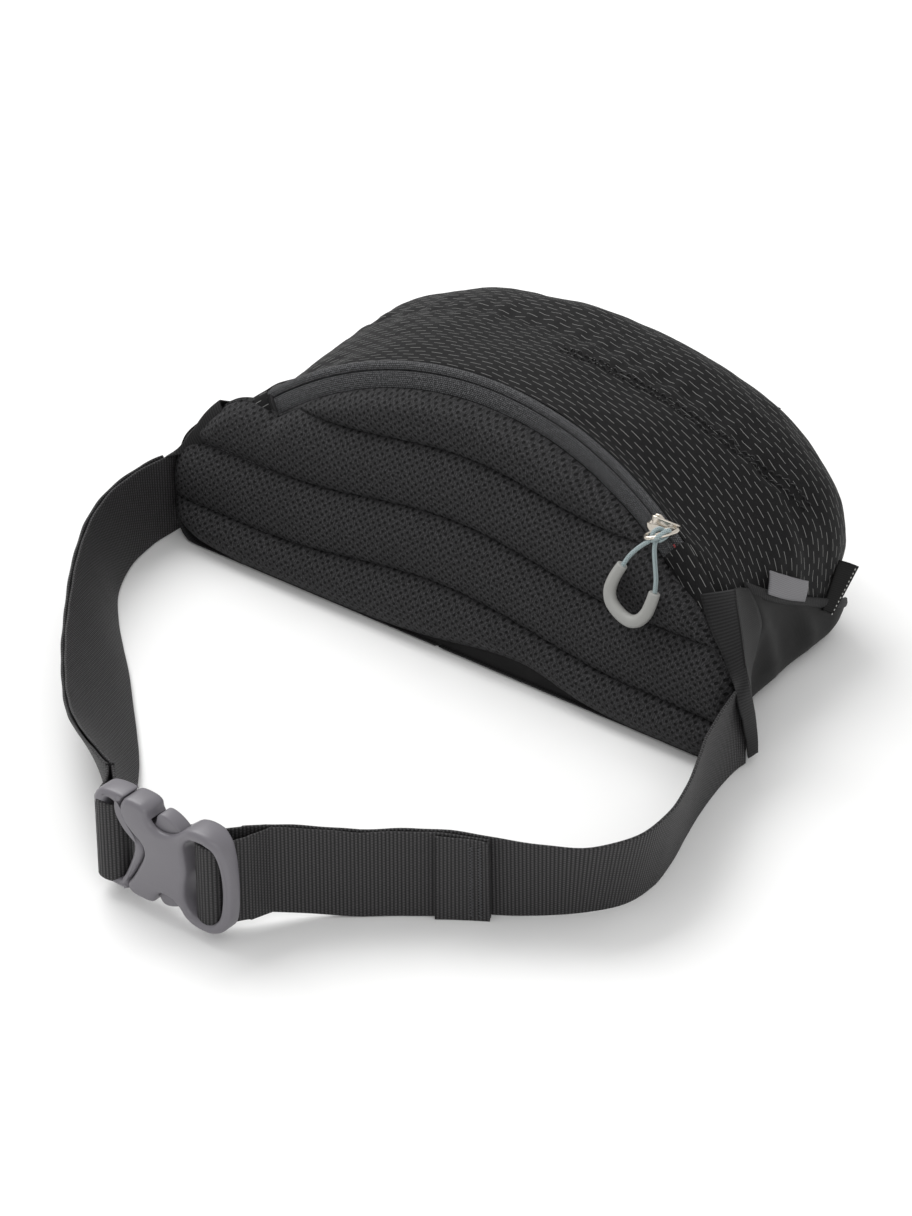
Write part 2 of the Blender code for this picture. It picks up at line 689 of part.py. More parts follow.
def female_outline():
    """Outline in the buckle's frame, where local X is along the belt and local Y is up."""
    h = BUCKLE_HALF
    s = SEAM_X
    upper = [(s, h - 8.5), (s + 4.0, h - 3.0), (s + 10.0, h - 0.6), (s + 21.6, h - 1.5),
             (s + 26.6, h - 3.4), (s + 31.6, h - 1.6), (s + 36.6, h), (s + 42.6, h)]
    upper += [(FEMALE_END_X - 8 + 8 * math.sin(a), h - 10 + 10 * math.cos(a))
              for a in (0.5, 1.0, 1.57)]
    return upper + [(x, -y) for x, y in reversed(upper)]


def female_half():
    t = BUCKLE_THICK / 2
    s = SEAM_X
    made = plate("buckle_female", female_outline(), -t, t, MOULDED, BUCKLE, 1.8)
    cuts = (
        ("mouth", (s - 5, -19.6, -3.7), (s + 22.1, 19.6, 3.7)),
        ("window", (s + 6.6, -30, -3.7), (s + 19.6, 30, 3.7)),
        ("slot_near", (s + 27.4, -19.5, -20), (s + 32.6, 19.5, 20)),
        ("slot_far", (s + 37.0, -19.5, -20), (s + 43.8, 19.5, 20)),
        ("bar_relief_front", (s + 30.6, -19.5, 3.4), (s + 38.6, 19.5, 20)),
        ("bar_relief_back", (s + 26.1, -19.5, -20), (FEMALE_END_X + 5, 19.5, -3.0)),
    )
    for name, low, high in cuts:
        change(made, block(name, low, high, None, BUCKLE, 0.0, CUTTERS), solver="MANIFOLD")


def male_half():
    h = BUCKLE_HALF
    upper = [(MALE_END_X, h - 4.0), (MALE_END_X + 3.0, h - 0.6), (SEAM_X - 4.0, h - 1.0),
             (SEAM_X - 0.8, h - 6.0), (SEAM_X - 0.6, h - 9.0)]
    outline = upper + [(x, -y) for x, y in reversed(upper)]
    made = plate("buckle_male", outline, -4.5, 4.5, MOULDED, BUCKLE, 1.2)
    tongue = block("tongue", (SEAM_X - 3, -5.0, -2.8), (SEAM_X + 18.6, 5.0, 2.8), MOULDED, BUCKLE, 0.0,
                   CUTTERS)
    slot = block("male_slot", (13.6, -19.5, -20), (18.4, 19.5, 20), None, BUCKLE, 0.0, CUTTERS)
    relief = block("male_relief", (MALE_END_X - 5, -19.5, -20), (18.0, 19.5, 20), None, BUCKLE,
                   0.0, CUTTERS)
    bar = block("male_bar", (8.6, -20.6, -2.6), (12.8, 20.6, 2.6), MOULDED, BUCKLE, 0.0, CUTTERS)
    change(made, relief)
    change(made, slot)
    change(made, bar, "UNION")
    change(made, tongue, "UNION")


def latch_arms():
    """Two sprung arms whose ends fill the female half's side windows."""
    for side, label in ((1, "upper"), (-1, "lower")):
        pivot = empty("arm_axis_" + label, (ARM_AXIS_X, side * ARM_AXIS_Z, 0))
        pivot.parent = BUCKLE
        outline = [(-0.4, -1.8), (6.0, -1.6), (12.0, 0.6), (17.5, 3.2), (18.0, 6.0), (15.5, 8.0),
                   (10.5, 9.0), (6.4, 8.2), (6.0, 5.6), (3.0, 2.2), (-0.4, 1.8)]
        plate("buckle_arm_" + label, [(x, y * side) for x, y in outline], -3.3, 3.3, MOULDED,
              pivot, 0.5)


body()
back_panel()
main_zip()
sides()
front_pocket()
main_pull()
key_hook()
belt()
female_half()
male_half()
latch_arms()

for piece in PARTS.objects:
    if piece.type == "MESH":
        piece.data.shade_smooth()
        piece.data.set_sharp_from_angle(angle=math.radians(35))
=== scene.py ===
"""Waist pack: its cloth, webbing, zips and buckle on a pale floor.

Lengths are in millimetres until a mesh is made; u runs along the back panel,
v up it and w towards the wearer.
"""

import json
from math import atan2, copysign, cos, dist, exp, hypot, pi, radians, sin, sqrt, tan

import bmesh
import bpy
import numpy as np
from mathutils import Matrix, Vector, noise


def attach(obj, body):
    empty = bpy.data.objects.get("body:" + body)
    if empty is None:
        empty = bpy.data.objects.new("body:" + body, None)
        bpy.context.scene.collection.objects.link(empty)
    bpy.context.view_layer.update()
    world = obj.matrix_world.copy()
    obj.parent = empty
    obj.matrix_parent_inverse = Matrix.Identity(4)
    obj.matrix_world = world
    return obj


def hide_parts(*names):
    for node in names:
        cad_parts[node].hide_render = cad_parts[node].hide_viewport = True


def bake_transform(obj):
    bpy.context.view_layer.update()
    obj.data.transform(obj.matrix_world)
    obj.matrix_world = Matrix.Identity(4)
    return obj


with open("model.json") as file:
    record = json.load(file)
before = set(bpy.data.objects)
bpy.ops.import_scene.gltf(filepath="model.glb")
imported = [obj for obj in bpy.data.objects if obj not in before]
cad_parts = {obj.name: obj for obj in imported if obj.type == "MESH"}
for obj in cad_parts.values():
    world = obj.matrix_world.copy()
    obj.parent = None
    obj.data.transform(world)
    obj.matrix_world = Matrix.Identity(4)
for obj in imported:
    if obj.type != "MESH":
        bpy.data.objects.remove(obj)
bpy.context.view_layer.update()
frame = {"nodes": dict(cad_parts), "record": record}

MM = 0.001
SIDES = ((1, "right"), (-1, "left"))
COORDS = "cloth"               # attribute with lengths along and across a cloth

# Back plane and main zip
BACK_Y = -56.5
BACK_LEAN = radians(16.7)
ZIP_RADIUS = 167.0
ZIP_LINE = 169.0
ZIP_CENTRE_V = -57.0
ZIP_END = radians(39.5)
ZIP_BAND = 5.0
WING_U = 146.0
WING_ROUND = 30.0
CORNER_ROUND = 16.0
GAP = 0.3
SLIDER_ANGLE = radians(33.5)

# Body
BODY_HALF = 125.0
BODY_TOP = 112.0
BODY_KNEE = 45.0
BODY_CORNER = 14.0
STITCH_LENGTH = 3.4
CROWN = 4.0
FRONT_START_Y = 42.0
FRONT_DEPTH = 30.0
FRONT_INSET = 26.0
FRONT_MIDDLE_Z = 50.0
FRONT_SEAM = 4.2               # depth, in stations, of the seam round the front
POCKET_DEPTHS = (2.0, 5.9)     # stations from a side pocket's sewn end to its front
HEM_DEPTHS = (2.05, 5.85)
CLOTH_THICK = 0.7
FLOOR_FACE = 0.4               # the base's face is below this height
FLOOR_LIFT = -0.9              # how far the cloth stays inside the base's face
AROUND = 110                   # steps from the top's middle to the base's middle
DEPTH_STEPS = 14               # steps between two stations

# Pad
PAD_LOW = 1.6
PAD_VALLEY = 4.6
PAD_TOP = 10.3
PAD_INSET = 5.4                # below the zip's line
PAD_THICK = 1.2
PAD_COLUMNS = 230
PAD_CROWDING = 0.86            # columns stand closer together towards the ends
RIDGE_STEPS = 26               # points across each ridge
CHANNEL_CAPS = (0.86, 0.93, 0.975)   # the highest share of the pad each channel reaches

# Belt and buckle
WEBBING = 38.0
WEB_THICK = 1.3
LAYER_STEP = 2.1
SELVAGE = 17.0                 # the webbing's wavy edge starts this far above its middle
STRAP_X = 148.2
BUCKLE_Y = -266.0
BUCKLE_Z = 25.0

# Side pocket's mouth
HEM_BACK_Y = -50.0
HEM_BACK_Z = 72.0
HEM_SLOPE = 0.525


# ---------------------------------------------------------------- meshes

def place(u, v, w):
    """A point of the back plane's frame, in millimetres of the row frame."""
    c, s = cos(BACK_LEAN), sin(BACK_LEAN)
    return Vector((u, BACK_Y + v * s - w * c, v * c + w * s))


def curve(knots, steps):
    """Catmull-Rom points from the second knot to just before the last but one."""
    path = []
    for a, b, c, d in zip(knots, knots[1:], knots[2:], knots[3:]):
        for i in range(steps):
            t = i / steps
            path.append(tuple(
                0.5 * (2 * q + (r - p) * t + (2 * p - 5 * q + 4 * r - s) * t * t
                       + (3 * q - p - 3 * r + s) * t ** 3)
                for p, q, r, s in zip(a, b, c, d)))
    return path


def smooth_path(points, steps):
    """A smooth line through points of any width."""
    return curve([points[0], *points, points[-1]], steps) + [tuple(points[-1])]


def closed_path(points, steps):
    """A smooth closed line through points."""
    return curve([points[-1], *points, *points[:2]], steps)


def unit(value):
    """The value, held between 0 and 1."""
    return max(0.0, min(1.0, value))


def blunt(value, power):
    """A sine or cosine drawn towards the corners of a square."""
    return copysign(abs(value) ** power, value)


def mixed(a, b, t):
    return tuple(p + (q - p) * t for p, q in zip(a, b))


def spread(low, high, count):
    return [low + (high - low) * i / count for i in range(count + 1)]


def lengths_along(points):
    run = [0.0]
    for a, b in zip(points, points[1:]):
        run.append(run[-1] + (Vector(b) - Vector(a)).length)
    return run


def heading_at(path, i):
    """Direction of a path at one of its points."""
    return (Vector(path[min(len(path) - 1, i + 1)]) - Vector(path[max(0, i - 1)])).normalized()


def surface(name, rows, look, body, coords=None, ring=False, caps=False, replaced=()):
    """A grid of points, in millimetres, as one smooth mesh that rides on a body."""
    shape = bmesh.new()
    grid = [[shape.verts.new(Vector(p) * MM) for p in row] for row in rows]
    count = len(rows[0])
    for low, high in zip(grid, grid[1:]):
        for i in range(count if ring else count - 1):
            j = (i + 1) % count
            shape.faces.new((low[i], low[j], high[j], high[i]))
    if caps:
        shape.faces.new(grid[0][::-1])
        shape.faces.new(grid[-1])
    bmesh.ops.recalc_face_normals(shape, faces=shape.faces)
    mesh = mesh_from(name, shape)
    if coords is None:
        along = lengths_along([row[0] for row in rows])
        coords = [[(a, b) for b in lengths_along(row)] for a, row in zip(along, rows)]
    flat = [value for row in coords for pair in row for value in (pair[0], pair[1], 0.0)]
    held = mesh.attributes.new(COORDS, "FLOAT_VECTOR", "POINT")
    held.data.foreach_set("vector", flat)
    return finished(name, mesh, look, body, replaced)


def mesh_from(name, shape):
    mesh = bpy.data.meshes.new(name)
    shape.to_mesh(mesh)
    shape.free()
    return mesh


def linked(name, data):
    made = bpy.data.objects.new(name, data)
    bpy.context.scene.collection.objects.link(made)
    return made


def finished(name, mesh, look, body, replaced=()):
    mesh.materials.append(look)
    mesh.shade_smooth()
    made = linked(name, mesh)
    if body:
        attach(made, body)
    if replaced:
        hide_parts(*replaced)
    return made


def thicken(piece, thick, offset=-1.0):
    solid = piece.modifiers.new("thickness", "SOLIDIFY")
    solid.thickness = thick * MM
    solid.offset = offset


def rounded(piece, width, segments=3, angle=35):
    edge = piece.modifiers.new("edge", "BEVEL")
    edge.width = width * MM
    edge.segments = segments
    edge.limit_method = "ANGLE"
    edge.angle_limit = radians(angle)
    edge.harden_normals = False


def tube(name, points, radius, look, body, sides=12, closed=False, replaced=(), squash=1.0):
    """A round bar along points; radius may be one number or one for each point."""
    radii = radius if isinstance(radius, (list, tuple)) else [radius] * len(points)
    points = [Vector(p) for p in points]
    rows, coords = [], []
    up = None
    run = 0.0
    count = len(points)
    for i, p in enumerate(points):
        before = points[i - 1] if (i or closed) else p
        after = points[(i + 1) % count] if (i < count - 1 or closed) else p
        heading = (after - before).normalized()
        if up is None:
            up = heading.orthogonal().normalized()
        up = (up - heading * up.dot(heading)).normalized()
        side = heading.cross(up)
        if i:
            run += (p - points[i - 1]).length
        turn = [2 * pi * k / sides for k in range(sides)]
        rows.append([p + (up * cos(a) * squash + side * sin(a)) * radii[i] for a in turn])
        coords.append([(run, radii[i] * a) for a in turn])
    if closed:
        rows.append(rows[0])
        coords.append(coords[0])
    made = surface(name, rows, look, body, coords, True, not closed, replaced)
    if closed:
        weld = made.modifiers.new("weld", "WELD")
        weld.merge_threshold = 0.00001
    return made


# ---------------------------------------------------------------- materials

class Look:
    """One procedural material, and short names for its nodes."""

    def __init__(self, name, colour, roughness, metallic=0.0, sheen=0.0, specular=0.5):
        self.material = bpy.data.materials.new(name)
        self.material.use_nodes = True
        self.nodes = self.material.node_tree.nodes
        self.shader = self.nodes["Principled BSDF"]
        self.colour = (*colour, 1.0)
        settings = {"Base Color": self.colour, "Roughness": roughness, "Metallic": metallic,
                    "Specular IOR Level": specular}
        if sheen:
            settings.update({"Sheen Weight": sheen, "Sheen Roughness": 0.4})
        for socket, given in settings.items():
            self.put(self.shader, socket, given)

    def put(self, node, socket, given):
        """Feeds a node's input with another node's output or a plain value."""
        if isinstance(given, bpy.types.NodeSocket):
            self.material.node_tree.links.new(given, node.inputs[socket])
        else:
            node.inputs[socket].default_value = given

    def node(self, kind, inputs, output=0, **settings):
        node = self.nodes.new("ShaderNode" + kind)
        for setting, value in settings.items():
            setattr(node, setting, value)
        for socket, given in inputs.items():
            self.put(node, socket, given)
        return node.outputs[output]

    def maths(self, operation, a, b=0.0, c=0.0):
        return self.node("Math", {0: a, 1: b, 2: c}, operation=operation)

    def times(self, a, b):
        return self.maths("MULTIPLY", a, b)

    def plus(self, a, b):
        return self.maths("ADD", a, b)

    def cloth(self):
        """Lengths along and across the cloth, in millimetres."""
        vector = self.node("Attribute", {}, "Vector", attribute_name=COORDS)
        split = self.nodes.new("ShaderNodeSeparateXYZ")
        self.put(split, 0, vector)
        return vector, split.outputs[0], split.outputs[1]

    def object_coords(self):
        return self.node("TexCoord", {}, "Object")

    def stretched(self, vector, scale, turn=(0.0, 0.0, 0.0)):
        return self.node("Mapping", {"Vector": vector, "Rotation": turn, "Scale": scale})

    def noise(self, vector, scale, detail=2.0, rough=0.5):
        return self.node("TexNoise", {"Vector": vector, "Scale": scale, "Detail": detail,
                                      "Roughness": rough}, "Fac")

    def dots(self, vector, scale, random=0.1):
        return self.node("TexVoronoi", {"Vector": vector, "Scale": scale, "Randomness": random},
                         "Distance", voronoi_dimensions="2D")

    def ramp(self, value, low, high, out_low=0.0, out_high=1.0):
        return self.node("MapRange", {0: value, 1: low, 2: high, 3: out_low, 4: out_high},
                         interpolation_type="SMOOTHSTEP")

    def wave(self, length, pitch):
        """0 to 1 and back over one pitch."""
        turn = self.times(length, 2 * pi / pitch)
        return self.maths("MULTIPLY_ADD", self.maths("SINE", turn), 0.5, 0.5)

    def mix(self, amount, a, b):
        return self.node("Mix", {"Factor": amount, 6: a, 7: b}, 2, data_type="RGBA")

    def tones(self, amount, low, high):
        """Between two shades of the look's colour."""
        return self.mix(amount, shade(self.colour, low), shade(self.colour, high))

    def paint(self, colour):
        self.put(self.shader, "Base Color", colour)

    def rough(self, value):
        self.put(self.shader, "Roughness", value)

    def bump(self, height, strength, distance):
        """Distance in millimetres."""
        normal = self.node("Bump", {"Strength": strength, "Distance": distance * MM,
                                    "Height": height})
        self.put(self.shader, "Normal", normal)


def shade(colour, factor):
    return tuple(channel * factor for channel in colour[:3]) + (1.0,)


def shell_look():
    """Near-black plain weave with short light dashes in staggered rows."""
    look = Look("shell_fabric", (0.0046, 0.0045, 0.0047), 0.72, specular=0.13)
    vector, along, across = look.cloth()
    row_height = 2.9
    row = look.maths("FLOOR", look.maths("DIVIDE", across, row_height))
    step = look.maths("MULTIPLY_ADD", row, 0.5, look.maths("DIVIDE", along, 8.6))
    place_in_step = look.maths("ABSOLUTE", look.maths("SUBTRACT", look.maths("FRACT", step), 0.5))
    long_part = look.ramp(place_in_step, 0.325, 0.305)
    in_row = look.maths("FRACT", look.maths("DIVIDE", across, row_height))
    off_line = look.maths("ABSOLUTE", look.maths("SUBTRACT", in_row, 0.5))
    thin_part = look.ramp(off_line, 0.054, 0.026)
    dash = look.times(long_part, thin_part)
    cloud = look.noise(vector, 0.05, 3.0)
    fibre = look.noise(look.stretched(vector, (1.0, 2.2, 1.0)), 1.5, 3.0, 0.7)
    base = look.tones(cloud, 0.7, 1.3)
    lit = look.mix(look.ramp(fibre, 0.35, 0.75), base, shade(look.colour, 3.2))
    look.paint(look.mix(dash, lit, (0.21, 0.21, 0.205, 1.0)))
    weave = look.plus(look.wave(along, 0.62), look.wave(across, 0.55))
    height = look.plus(look.times(weave, 0.35), look.times(dash, 0.9))
    look.bump(look.plus(height, fibre), 0.45, 0.14)
    look.rough(look.ramp(fibre, 0.2, 0.8, 0.58, 0.78))
    return look.material


def mesh_look():
    """Knitted spacer mesh with staggered perforations, painted near-black for the shade inside
    them.
    """
    look = Look("spacer_mesh", (0.0250, 0.0246, 0.0258), 0.80, specular=0.25)
    vector = look.cloth()[0]
    dots = look.dots(look.stretched(vector, (0.86, 1.0, 1.0), (0, 0, pi / 4)), 0.41, 0.16)
    hole = look.ramp(dots, 0.285, 0.195)
    fibre = look.noise(look.stretched(vector, (1.5, 0.7, 1.0)), 1.25, 3.0, 0.7)
    cloud = look.noise(vector, 0.045, 2.0)
    base = look.tones(cloud, 0.82, 1.22)
    fuzz = look.mix(look.ramp(fibre, 0.40, 0.55), shade(look.colour, 0.48), base)
    lit = look.mix(look.ramp(fibre, 0.50, 0.68), fuzz, shade(look.colour, 2.3))
    # Painted shade: the perforations are painted near-black, as the shade inside the holes
    look.paint(look.mix(hole, lit, (0.0012, 0.0012, 0.0014, 1.0)))
    height = look.maths("SUBTRACT", look.times(fibre, 0.9), look.times(hole, 1.6))
    look.bump(height, 1.0, 0.40)
    return look.material


def tape_look():
    """Slate grey zip tape with a fine knitted face."""
    look = Look("zip_tape", (0.0560, 0.0565, 0.0590), 0.70, specular=0.25)
    vector, along, across = look.cloth()
    slant = look.maths("MULTIPLY_ADD", look.wave(across, 1.5), 0.45, along)
    knit = look.times(look.wave(slant, 0.95), look.wave(across, 0.80))
    fibre = look.noise(vector, 0.95, 3.0, 0.7)
    tone = look.plus(look.times(knit, 0.35), look.times(fibre, 0.9))
    look.paint(look.tones(look.ramp(tone, 0.42, 0.80), 0.30, 2.3))
    look.bump(tone, 0.9, 0.35)
    return look.material


def webbing_look():
    """Black nylon webbing: ribs across the strap, each broken into stitches."""
    look = Look("webbing", (0.0185, 0.0178, 0.0185), 0.60, specular=0.35)
    vector, along, across = look.cloth()
    pitch = 1.45
    rib = look.wave(along, pitch)
    row = look.maths("FLOOR", look.maths("DIVIDE", along, pitch))
    stitch = look.wave(look.plus(across, look.times(row, 0.6)), 1.2)
    fibre = look.noise(vector, 1.3, 2.0, 0.6)
    stitched = look.maths("MULTIPLY_ADD", stitch, 0.6, 0.4)
    woven = look.times(look.maths("POWER", rib, 0.8), stitched)
    tone = look.plus(look.times(woven, 0.75), look.times(fibre, 0.35))
    look.paint(look.tones(look.ramp(tone, 0.15, 0.85), 0.35, 2.5))
    look.bump(woven, 0.8, 0.30)
    look.rough(look.ramp(tone, 0.1, 0.9, 0.75, 0.48))
    return look.material


def plain_look(name, colour, sheen=0.25, pitch=0.9):
    """Smooth dark stretch cloth with fine ribs."""
    look = Look(name, colour, 0.66, sheen=sheen, specular=0.22)
    vector, along = look.cloth()[:2]
    fibre = look.noise(vector, 1.6, 2.0)
    rib = look.wave(along, pitch)
    tone = look.plus(look.times(rib, 0.4), look.times(fibre, 0.6))
    look.paint(look.tones(look.ramp(tone, 0.2, 0.8), 0.45, 1.9))
    look.bump(tone, 0.6, 0.16)
    return look.material


def solid_look(name, colour, roughness, metallic=0.0, grain=900.0, depth=0.03, amount=0.25,
               specular=0.5):
    """Moulded or metal parts: fine grain and a little tone from place to place."""
    look = Look(name, colour, roughness, metallic, specular=specular)
    vector = look.object_coords()
    fine = look.noise(vector, grain, 3.0)
    cloud = look.noise(vector, 70.0, 3.0)
    look.paint(look.tones(cloud, 1 - amount / 2, 1 + amount / 2))
    look.rough(look.ramp(cloud, 0.25, 0.75, roughness * 0.85, min(1.0, roughness * 1.15)))
    look.bump(fine, 0.5, depth)
    return look.material


def cord_look():
    """Braided cord: two sets of strands crossing on the slant."""
    look = Look("pull_cord", (0.290, 0.360, 0.370), 0.60, sheen=0.2)
    vector, along, around = look.cloth()
    one = look.wave(look.plus(along, around), 0.95)
    other = look.wave(look.maths("SUBTRACT", along, around), 0.95)
    braid = look.maths("MAXIMUM", one, other)
    fibre = look.noise(vector, 3.0, 2.0)
    tone = look.maths("MULTIPLY_ADD", fibre, 0.3, look.times(braid, 0.75))
    look.paint(look.tones(look.ramp(tone, 0.3, 0.95), 0.35, 1.35))
    look.bump(braid, 0.8, 0.2)
    return look.material


def label_look():
    """Blank woven label with fine ribs."""
    look = Look("woven_label", (0.165, 0.162, 0.171), 0.62)
    vector, along, across = look.cloth()
    rib = look.times(look.wave(across, 0.62), look.wave(along, 0.5))
    fibre = look.noise(vector, 2.5, 2.0)
    tone = look.plus(look.times(rib, 0.5), look.times(fibre, 0.5))
    look.paint(look.tones(look.ramp(tone, 0.1, 0.8), 0.72, 1.25))
    look.bump(tone, 0.5, 0.12)
    return look.material


SHELL = shell_look()
MESH = mesh_look()
TAPE = tape_look()
WEB = webbing_look()
PLAIN = plain_look("plain_fabric", (0.0042, 0.0041, 0.0041), 0.01)
BINDING = plain_look("binding", (0.0105, 0.0103, 0.0107), 0.02, 1.4)
FOAMED = solid_look("foam", (0.12, 0.12, 0.125), 0.95, 0.0, 500.0, 0.4)
COIL = solid_look("zip_coil", (0.045, 0.048, 0.052), 0.45)
MOULDED = solid_look("moulded_plastic", (0.145, 0.138, 0.153), 0.36, 0.0, 2600.0, 0.05, 0.12)
METAL = solid_look("slider_metal", (0.66, 0.61, 0.54), 0.24, 1.0, 1500.0, 0.012, 0.15)
CORD = cord_look()
GRIP = solid_look("pull_grip", (0.315, 0.315, 0.300), 0.48, 0.0, 1800.0, 0.03, 0.10)
LABEL = label_look()
THREAD = solid_look("thread", (0.42, 0.42, 0.40), 0.6)
RED_THREAD = solid_look("red_thread", (0.22, 0.015, 0.018), 0.6)
SEAM_THREAD = solid_look("seam_thread", (0.0050, 0.0050, 0.0052), 0.6)
DARK_THREAD = solid_look("dark_thread", (0.060, 0.060, 0.064), 0.5)

SLOT_LOOKS = {
    "shell_fabric": SHELL, "plain_fabric": PLAIN, "spacer_mesh": MESH, "foam": FOAMED,
    "zip_tape": TAPE, "zip_coil": COIL, "webbing": WEB, "moulded_plastic": MOULDED,
    "slider_metal": METAL, "pull_cord": CORD, "pull_grip": GRIP, "woven_label": LABEL,
}
# Carried-over nodes hold no lengths along the cloth, so the woven slots look plainer on them
NODE_LOOKS = {
    slot: solid_look(slot + "_node", colour, roughness, 0.0, *grain_and_tone)
    for slot, colour, roughness, grain_and_tone in (
        ("plain_fabric", (0.0070, 0.0068, 0.0070), 0.68, (1500.0, 0.12, 0.5, 0.2)),
        ("shell_fabric", (0.0085, 0.0083, 0.0086), 0.68, (1500.0, 0.12, 0.5, 0.2)),
        ("zip_tape", (0.055, 0.058, 0.060), 0.68, (1100.0, 0.25, 0.6, 0.25)),
        ("webbing", (0.0185, 0.0178, 0.0185), 0.6, (1100.0, 0.25, 0.6, 0.3)),
        ("pull_cord", (0.25, 0.31, 0.32), 0.6, (1400.0, 0.2, 0.5, 0.3)),
    )
}


def repaint_nodes():
    """Every carried-over node takes its slot's material."""
    slots = {part["node"]: part["material_slot"] for part in frame["record"]["subparts"]}
    for name, node in frame["nodes"].items():
        look = NODE_LOOKS.get(slots[name], SLOT_LOOKS[slots[name]])
        if not node.material_slots:
            node.data.materials.append(look)
        for held in node.material_slots:
            held.material = look


# ---------------------------------------------------------------- outlines

def arc_points(centre, radius, start, end, steps):
    return [(centre[0] + radius * cos(start + (end - start) * i / steps),
             centre[1] + radius * sin(start + (end - start) * i / steps))
            for i in range(steps + 1)]


def back_edge(fine=4):
    """Right half of the back panel's edge: (u, v, normal angle), top to bottom."""
    edge = []
    for i in range(12 * fine + 1):
        angle = ZIP_END * i / (12 * fine)
        edge.append((ZIP_RADIUS * sin(angle),
                     ZIP_CENTRE_V + ZIP_RADIUS * cos(angle), pi / 2 - angle))
    slope = pi / 2 - ZIP_END
    last_u, last_v, _ = edge[-1]
    corner_v = last_v - (WING_U - last_u) * tan(ZIP_END)
    centre = (WING_U - WING_ROUND, corner_v - WING_ROUND * tan(slope / 2))
    for u, v in arc_points(centre, WING_ROUND, slope, 0.0, 5 * fine):
        edge.append((u, v, atan2(v - centre[1], u - centre[0])))
    centre = (WING_U - CORNER_ROUND, CORNER_ROUND)
    for u, v in arc_points(centre, CORNER_ROUND, 0.0, -pi / 2, 4 * fine):
        edge.append((u, v, atan2(v - centre[1], u - centre[0])))
    edge += [(WING_U / 2, 0.0, -pi / 2), (0.0, 0.0, -pi / 2)]
    return edge


def band_share(u, v):
    """1 along the zip, falling to 0 at the wings and the lower edge."""
    start = ZIP_RADIUS * sin(ZIP_END)
    if v < ZIP_BAND * 7:
        return 0.0
    return unit(1.0 - (u - start) / (WING_U - 8.0 - start))


def moved_edge(along_zip, elsewhere):
    half = []
    for u, v, angle in back_edge():
        share = band_share(u, v)
        out = along_zip * share + elsewhere * (1 - share)
        half.append((max(0.0, u + out * cos(angle)), max(0.0, v + out * sin(angle))))
    return half


def resampled(half, count):
    """Points at equal steps along a polyline."""
    lengths = [0.0]
    for (a, b), (c, d) in zip(half, half[1:]):
        lengths.append(lengths[-1] + hypot(c - a, d - b))
    out = []
    for i in range(count + 1):
        want = lengths[-1] * i / count
        k = max(j for j, length in enumerate(lengths[:-1]) if length <= want + 1e-9)
        t = (want - lengths[k]) / (lengths[k + 1] - lengths[k])
        out.append(mixed(half[k], half[k + 1], t))
    return out


def body_half():
    """Right half of the body's section, top to bottom."""
    half = []
    for i in range(65):
        angle = pi / 2 * i / 64
        half.append((BODY_HALF * sin(angle),
                     BODY_KNEE + (BODY_TOP - BODY_KNEE) * cos(angle)))
    centre = (BODY_HALF - BODY_CORNER, BODY_CORNER)
    half += arc_points(centre, BODY_CORNER, 0.0, -pi / 2, 12)
    half.append((0.0, 0.0))
    return half


RIM = resampled(moved_edge(ZIP_BAND, 0.6), AROUND)
SECTION = resampled(body_half(), AROUND)
# Stations from back to front: ground y, lean, share of the width change, of the height change
STATIONS = (
    (BACK_Y + 1.6, tan(BACK_LEAN), 0.0, 0.0),
    (-47.0, 0.27, 0.45, 0.12),
    (-31.0, 0.22, 0.78, 0.35),
    (-8.0, 0.13, 0.95, 0.62),
    (18.0, 0.05, 1.0, 0.88),
    (FRONT_START_Y, 0.0, 1.0, 1.0),
)
LAST_STATION = len(STATIONS) - 1


def station_ring(y, lean, widen, lift):
    ring = []
    for (u, v), (x, z) in zip(RIM, SECTION):
        height = v * cos(BACK_LEAN) * (1 - lift) + z * lift
        across = u * (1 - widen) + x * widen
        crown = CROWN * sin(pi * min(1.0, lift)) * max(0.0, height - BODY_KNEE) / BODY_TOP
        ring.append((across, y + lean * height, height + crown))
    return ring


def body_rings():
    """Half rings from the back rim to the middle of the front, and their depths in stations."""
    steps = smooth_path(STATIONS, DEPTH_STEPS)
    rings = [station_ring(*step) for step in steps]
    depths = [i / DEPTH_STEPS for i in range(len(steps))]
    last = rings[-1]

    def shrunk(y, inset):
        across = 1 - inset / BODY_HALF
        up = 1 - inset / (BODY_TOP - FRONT_MIDDLE_Z)
        return [(x * across, y, FRONT_MIDDLE_Z + (z - FRONT_MIDDLE_Z) * up) for x, _, z in last]

    for i in range(1, 25):
        angle = pi / 2 * i / 24
        rings.append(shrunk(FRONT_START_Y + FRONT_DEPTH * sin(angle),
                            FRONT_INSET * (1 - cos(angle))))
        depths.append(LAST_STATION + 3 * i / 24)
    for i in range(1, 13):
        rings.append(shrunk(FRONT_START_Y + FRONT_DEPTH + 2.0 * sin(pi / 2 * i / 12),
                            FRONT_INSET + 35.5 * i / 12))
        depths.append(LAST_STATION + 3 + i / 12)
    return rings, depths


RINGS, DEPTHS = body_rings()
GRID = np.array(RINGS)
NORMALS = np.cross(np.gradient(GRID, axis=1), np.gradient(GRID, axis=0))
NORMALS /= np.maximum(np.linalg.norm(NORMALS, axis=2, keepdims=True), 1e-9)


def ring_at(depth):
    """The ring before a depth, and the share of the way to the next one."""
    row = float(np.interp(depth, DEPTHS, range(len(DEPTHS))))
    i = min(int(row), len(DEPTHS) - 2)
    return i, row - i


